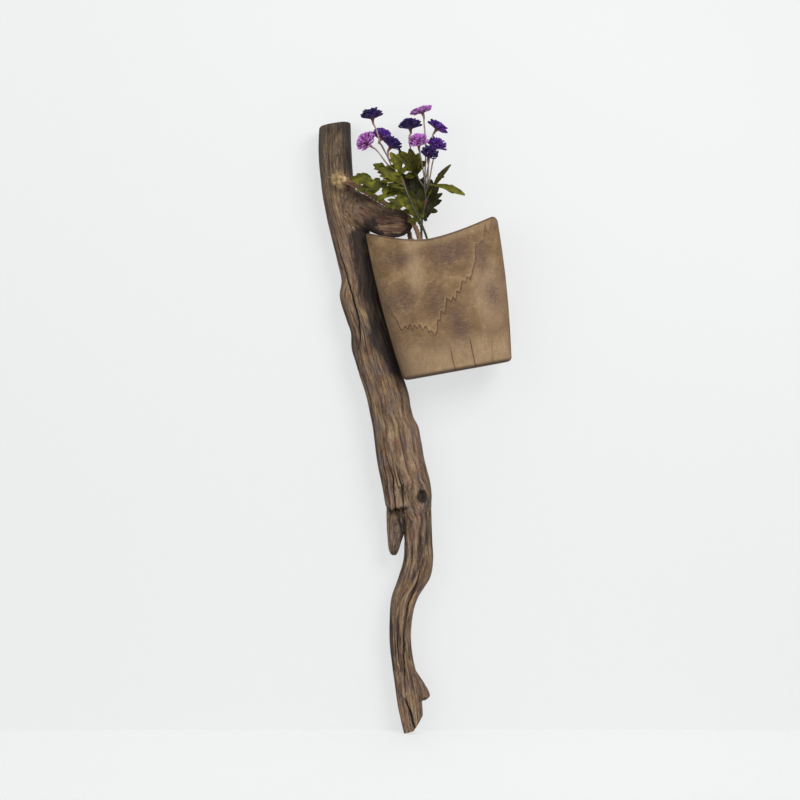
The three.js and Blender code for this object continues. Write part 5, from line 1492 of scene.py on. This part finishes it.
def petal(reach, root, rise, width, bend, cup, own, notch):
    """A spoon-shaped petal with a puffy wavy tip, closed, pointing along +X and rising."""
    v = np.array([-1, -0.7, -0.36, 0, 0.36, 0.7, 1])
    rows = []
    for u in np.linspace(0, 1, 10):
        half = width / 2 * (0.17 + 0.83 * smooth_step(0.12, 0.82, u))
        half *= 1 - 0.42 * smooth_step(0.88, 1.03, u)
        late = smooth_step(0.6, 1, u)
        tip = 1 - 0.1 * np.abs(v) ** 2.5 * smooth_step(0.5, 1, u) - notch * bell(v, 0.2, 0.25) * late
        tip += 0.05 * np.cos(v * 6 + own) * late
        r = root[0] + (reach - root[0]) * u ** bend[0] * tip
        z = root[1] + (rise - root[1]) * u ** bend[1] * (0.9 + 0.1 * tip)
        z = z + cup * half * v ** 2 + 0.55 * np.sin(v * 5 + own * 3) * u ** 3
        thick = 0.32 + 2.6 * smooth_step(0.5, 0.85, u) * (1 - smooth_step(0.9, 1.02, u)) * (1 - 0.7 * v ** 2)
        rows.append((u, *[np.stack([r, v * half, z + thick * k], axis=1) for k in (0.6, -0.4)]))
    return thin_skin(rows, v, own)


def calyx_scale(low, high, out, own):
    """One scale that lies on the calyx and turns out at its tip."""
    v = np.array([-1, -0.5, 0, 0.5, 1])
    rows = []
    for u in np.linspace(0, 1, 6):
        z = low + (high - low) * u
        r = np.interp(z, [-1.2, 0, 1.6, 3.2, 5.2], [2.3, 2.6, 3.3, 3.9, 4.4]) + 0.2
        r += (out - 4.2) * smooth_step(0.6, 1, u)
        half = 1.3 * (0.5 + 0.9 * u) * (1 - smooth_step(0.45, 1.0, u) * 0.9)
        top = np.stack([r - 0.12 * (v * half) ** 2, v * half, np.full(5, z)], axis=1)
        rows.append((u, top, top - (0.3, 0, 0)))
    return thin_skin(rows, v, own)


def flower_head(radius, seed, flat):
    """A fan of petals over a slim scaly calyx with a socket for the stem, base at the origin, facing +Z."""
    rng = np.random.default_rng(seed)
    head = Shape()
    for layer, (count, share, rise, root, wide, bend, cup) in enumerate(PETAL_LAYERS):
        for k in range(count):
            own = rng.uniform(0, 10)
            reach = radius * share * rng.uniform(0.88, 1.02)
            tall = 3 + (rise - 3) * flat + rng.uniform(-1.6, 1.2)
            size = radius * wide * rng.uniform(0.85, 1.12)
            (points, faces), marks = petal(reach, (1.9, root), tall, size, bend,
                                           cup + rng.uniform(-0.1, 0.14), own, rng.uniform(0.02, 0.12))
            angle = TURN * (k + 0.43 * layer) / count + rng.uniform(-0.12, 0.12)
            head.add((spun(points, angle), faces), 0, petal=marks)
    head.add(lathe(CALYX, 20), 1, petal=(0.5, 0.0, 1.0))
    count = 7
    for ring, (low, high, out) in enumerate(((-1.0, 3.6, 4.4), (0.6, 5.2, 5.4))):
        for k in range(count):
            (points, faces), marks = calyx_scale(low, high, out, rng.uniform(0, 10))
            head.add((spun(points, TURN * (k + 0.5 * ring) / count), faces), 1, petal=marks)
    return head


def straight_to(flower):
    """The way a flower faces, and the base of its head."""
    at, faces = np.array(flower[0], float), unit(flower[1])
    return faces, at - faces * HEAD_DEPTH


def branch_of(flower):
    """The branch up to a flower's head, straight at its end."""
    way, base = straight_to(flower)
    return Curve([*flower[4], base - way * 6, base])


BRANCHES = [branch_of(flower) for flower in FLOWERS]


def leaf_joint(leaf):
    """Where a leaf's stalk meets its stem: the joint, the stalk's direction and its start."""
    stem, share, base = leaf[0], leaf[1], np.array(leaf[2], float)
    curve, radius = (MAIN[stem], 2.1) if stem in MAIN else (BRANCHES[stem], 1.4)
    joint = curve.at(share)[0]
    way = unit(base - joint)
    lean = abs(curve.way(share) @ way)
    return joint, way, joint + way * (radius + 0.6 + 2.1 * lean) / math.sqrt(1 - lean ** 2)


def lobe(base, tip, width, seed, arch, root):
    """One lobe of a leaf: a pointed oval with shallow teeth and a folded rib, thin and closed."""
    along = tip - base
    side = unit(np.cross(along, (0, -0.86, 0.5)))
    normal = unit(np.cross(side, along))
    v = np.array([-1, -0.8, -0.55, -0.28, 0, 0.28, 0.55, 0.8, 1])
    rows = []
    for u in np.linspace(0, 1, 22):
        full = root + (1 - root) * math.sin(math.pi / 2 * min(1, u / 0.55)) ** 1.2
        full *= math.sqrt(max(0.0, 1 - smooth_step(0.5, 1.06, u) ** 1.6))
        edges = []
        for s in (0, 1):
            tooth = 0.1 * abs(math.sin(math.pi * (3.3 * u + 0.37 * seed + 0.5 * s))) ** 0.8
            edges.append(full * (0.92 + tooth * smooth_step(0.15, 0.4, u)) * width / 2)
        half = np.where(v < 0, *edges)
        spine = base + along * u + normal * arch * math.sin(math.pi * u) - normal * arch * 0.8 * u ** 3
        lift = half * np.abs(v) * 0.3 - 0.1 * half * np.abs(v) ** 3
        lift += 0.5 * np.sin(u * 8 + v * 2.4 + seed) * v ** 2
        top = spine + side * (v * half)[:, None] + normal * lift[:, None]
        rows.append((u, top, top - normal * 0.45))
    return thin_skin(rows, v, 1)


def lobes_of(number, base, tip, width, rng):
    """The lobes of a leaf: start, end, width, arch and the share of the width at the root."""
    along = tip - base
    face = unit(np.cross(unit(np.cross(along, (0, -0.86, 0.5))), along))
    side = unit(np.cross(face, along))
    narrow = width < 18 or number == 8
    root = base - unit(along) * 1.5
    lobes = [(root, tip, width * (0.54 if narrow else 0.66), 3.5, 0.4)]
    steps = ((0.4, 0.5, 0.6),) if narrow else ((0.22, 0.72, 1.0), (0.46, 0.6, 0.82))
    for share, turn, size in steps:
        for s in (1, -1):
            lean = turn * rng.uniform(0.85, 1.15)
            reach = width * 0.56 * size / math.sin(lean) * rng.uniform(0.85, 1.05)
            begin = root + along * (share + rng.uniform(-0.04, 0.04)) + face * 0.8
            way = unit(along) * math.cos(lean) + side * math.sin(lean) * s + face * rng.uniform(-0.12, 0.2)
            way = unit(way)
            lobes.append((begin - way * 1.5, begin + way * reach, width * 0.44 * size ** 0.5, 1.6, 0.55))
    for turn, size in () if narrow else ((1.15, 0.62), (-1.1, 0.58)):
        way = unit(unit(along) * math.cos(turn) + side * math.sin(turn))
        begin = root + way * 0.5
        lobes.append((begin, begin + way * width * size * rng.uniform(0.9, 1.1), width * 0.42, 1.2, 0.5))
    own = len(lobes)
    for begin, end, wide in FILLING.get(number, ()):
        lobes.append((np.array(begin, float), np.array(end, float), wide, 2.5, 0.4))
    return lobes, own


def stalk_profile(run):
    """A stalk with a socket for its peg, shorter where the leaf sits close to the stem."""
    if run < 9:
        return [(0.1, 4.3), (1.3, 4.3), (1.3, 0), (2.1, 0.2), (2.0, run * 0.6), (0.8, run)]
    return [(0.1, 4.3), (1.3, 4.3), (1.3, 0), (1.9, 0), (2.1, 0.3), (2.1, 4.6), (1.5, 6.2), (0.95, 8),
            (0.8, run * 0.7), (0.6, run)]


def make_leaf(number, leaf, look):
    """One leaf with its lobes and its stalk; leaves further back and inside the bunch get painted shade."""
    _, way, start = leaf_joint(leaf)
    base, tip, width = np.array(leaf[2], float), np.array(leaf[3], float), leaf[4]
    rng = np.random.default_rng(100 + number)
    # Painted shade for leaves further back and inside the bunch, more on the filling lobes
    inside = 0.8 * smooth_step(-6, 18, base[1]) + 0.12 * smooth_step(-60, 0, base[0])
    dark = np.clip(0.03 + inside, 0, 0.82)
    shape = Shape()
    lobes, own = lobes_of(number, base, tip, width, rng)
    for k, (begin, end, wide, arch, waist) in enumerate(lobes):
        shade = dark + (0.3 if k >= own and number > 6 else 0)
        skin, marks = lobe(begin, end, wide, 10 + number * 3 + k, arch, waist)
        shape.add(in_bunch(skin), blade=marks, dark=np.clip(shade + rng.uniform(-0.14, 0.14), 0, 0.92))
    stalk = lathe(stalk_profile(np.linalg.norm(base - start) + 5), 12)
    shape.add(in_bunch(placed(stalk, way, start)), blade=(0.5, 0.0, 1.0), dark=dark * 0.6)
    shape.piece(f"leaf_{number}", [look], "flower_bunch", "leaf", 60)


def make_stem():
    """Both main stems with their foot, the branches, and the pegs of flowers and leaves."""
    stem = Shape()

    def grow(solid, near_head):
        stem.add(in_bunch(solid), height=solid[0][:, 2], near_head=near_head)

    foot, faces = lathe([(0.3, FOOT_TIP), (0.8, FOOT_TIP + 0.3), (3.2, FOOT_TIP + 8), (3.2, FOOT_TOP - 1),
                         (2.6, FOOT_TOP)], 24)
    grow((foot + (FOOT_X, 0, 0), faces), 0.0)
    stems = [(curve, STEM_RADIUS, 110) for curve in MAIN.values()]
    for curve, radius, count in stems + [(curve, BRANCH_RADIUS, 80) for curve in BRANCHES]:
        run = np.linspace(0, curve.length, count)
        swell = 1 + 0.05 * noise_at(run / 7, 0, radius)
        near = smooth_step(15, 0, curve.length - run)
        tube = sweep(curve.points(count), radius * swell + 1.1 * near ** 1.5, 12)
        grow(tube, np.concatenate([np.repeat(near, 12), near[[0, -1]]]) * 0.85)
    for flower in FLOWERS:
        way, base = straight_to(flower)
        grow(sweep([base - way * 3, base, base + way * 4], 1.0, 10), 0.85)
    for leaf in LEAVES:
        joint, way, start = leaf_joint(leaf)
        grow(sweep([joint, start, start + way * 4], 1.0, 10), 0.0)
        if leaf[0] in MAIN:
            bud = lathe([(0.2, -2.4), (1.7, -1.6), (2.3, 0), (1.9, 1.4), (1.0, 2.2)], 12)
            grow(placed(bud, way, joint), 0.0)
    stem.piece("bunch_stem", [stem_look()], "flower_bunch", "stem", 60)


def make_bunch():
    """The whole bunch: stem, flowers and leaves."""
    make_stem()
    looks, calyx = {name: petal_look(name) for name in PETAL_COLORS}, calyx_look()
    for number, flower in enumerate(FLOWERS, 1):
        way, base = straight_to(flower)
        head = flower_head(flower[2], 50 + number, FLATTER.get(number, 1.0))
        head.points = [turned(points, way, base) + BUNCH for points in head.points]
        head.piece(f"flower_{number}", [looks[flower[3]], calyx], "flower_bunch", f"petal_{flower[3]}", 60)
    green = leaf_look()
    for number, leaf in enumerate(LEAVES, 1):
        make_leaf(number, leaf, green)


def dress_foam():
    """Dry floral foam, dull green with fine open pores, on the CAD block itself."""
    look = Look("floral_foam", Specular_IOR_Level=0.1)
    place = look.place()
    cells = look.node("TexVoronoi", place)
    cells.inputs["Scale"].default_value = 700
    cell, broad = cells.outputs["Distance"], look.noise(place, 60, 3)
    color = look.ramp(cell, (0.0, (38, 54, 36)), (0.5, (66, 92, 60)), (1.0, (84, 112, 76)))
    color = look.paint(color, (look.fit(broad, 0.4, 0.7, 0, 0.4), 50, 66, 44))
    foam = bpy.data.objects["floral_foam"].data
    foam.materials.clear()
    foam.materials.append(look.set(Base_Color=color, Roughness=look.fit(broad, 0.3, 0.7, 0.9, 1.0),
                                   Normal=look.bump(cell, 0.8, 0.8)))


# Camera, floor, wall and lights

MIDDLE = (0.104, 0.0, -0.4)
GLOW_SHARE = 0.72
CAMERA_PLACE = (0.104, -3.05, -0.384)
SENSOR_WIDTH, VIEW_DISTANCE, VIEW_WIDTH = 36, 3.0, 1.28
LAMPS_AIM = Vector((0.1, -0.05, -0.35))
# Each lamp: name, place, size and power
LAMPS = [("key", (1.25, -2.0, 0.9), 1.2, 52), ("fill", (-1.4, -1.9, 0.2), 1.8, 17),
         ("top", (0.1, -0.5, 1.8), 1.2, 14), ("back", (0.1, 1.8, 0.4), 1.6, 22)]


def backdrop(name, points, hidden_behind):
    """A pale sheet that fades out round the object and keeps its soft shadow."""
    mesh = bpy.data.meshes.new(name)
    mesh.from_pydata(points, [], [(0, 1, 2, 3)])
    linked(name, mesh)
    material = bpy.data.materials.new(name)
    tree = Tree(material)
    paper = tree.node("BsdfDiffuse", srgb(213, 213, 213)).outputs[0]
    glow = tree.node("Emission", srgb(239, 240, 240), 1.0).outputs[0]
    sheet = tree.node("MixShader", tree.times(tree.seen(), GLOW_SHARE), paper, glow).outputs[0]
    off = tree.node("VectorMath", tree.place(), MIDDLE, operation="DISTANCE").outputs["Value"]
    gone = tree.fit(off, 0.62, 1.15)
    if hidden_behind:
        behind = tree.node("NewGeometry").outputs["Backfacing"]
        gone = tree.largest(gone, behind, tree.node("LightPath").outputs["Is Shadow Ray"])
    clear = tree.node("BsdfTransparent").outputs[0]
    tree.node("OutputMaterial", tree.node("MixShader", gone, sheet, clear).outputs[0])
    mesh.materials.append(material)


def make_world():
    """A dim even sky that lights the object, seen by the camera as plain pale grey."""
    world = bpy.data.worlds.new("studio")
    bpy.context.scene.world = world
    tree = Tree(world)
    sky = tree.node("Background", (0.97, 0.98, 1, 1), 0.5).outputs[0]
    ground = tree.node("Background", srgb(240, 241, 241), 1.0).outputs[0]
    tree.node("OutputWorld", tree.node("MixShader", tree.seen(), sky, ground).outputs[0])


def stage_set():
    """Camera, world, lamps, floor and wall."""
    camera = linked("camera", bpy.data.cameras.new("camera"))
    camera.location = CAMERA_PLACE
    camera.rotation_euler = (math.radians(90), 0, 0)
    camera.data.sensor_width = SENSOR_WIDTH
    camera.data.lens = SENSOR_WIDTH * VIEW_DISTANCE / VIEW_WIDTH
    camera.data.clip_end = 50
    bpy.context.scene.camera = camera
    bpy.context.scene.view_settings.view_transform = "Standard"
    make_world()
    for name, place, size, power in LAMPS:
        light = bpy.data.lights.new(name, "AREA")
        light.size, light.energy = size, power
        lamp = linked(name, light)
        lamp.location = place
        lamp.rotation_euler = (LAMPS_AIM - Vector(place)).to_track_quat("-Z", "Y").to_euler()
    floor, wall = cad_box[0][2] - 0.0005, cad_box[1][1] + 0.001
    left, right, front, top = -2, 2.2, -2.5, 1.2
    back_edge = [(right, wall, floor), (left, wall, floor)]
    backdrop("floor", [(left, front, floor), (right, front, floor), *back_edge], False)
    backdrop("wall", [*back_edge[::-1], (right, wall, top), (left, wall, top)], True)


make_log()
make_pot()
make_fixings()
make_rope()
make_knot()
make_bunch()
dress_foam()
stage_set()
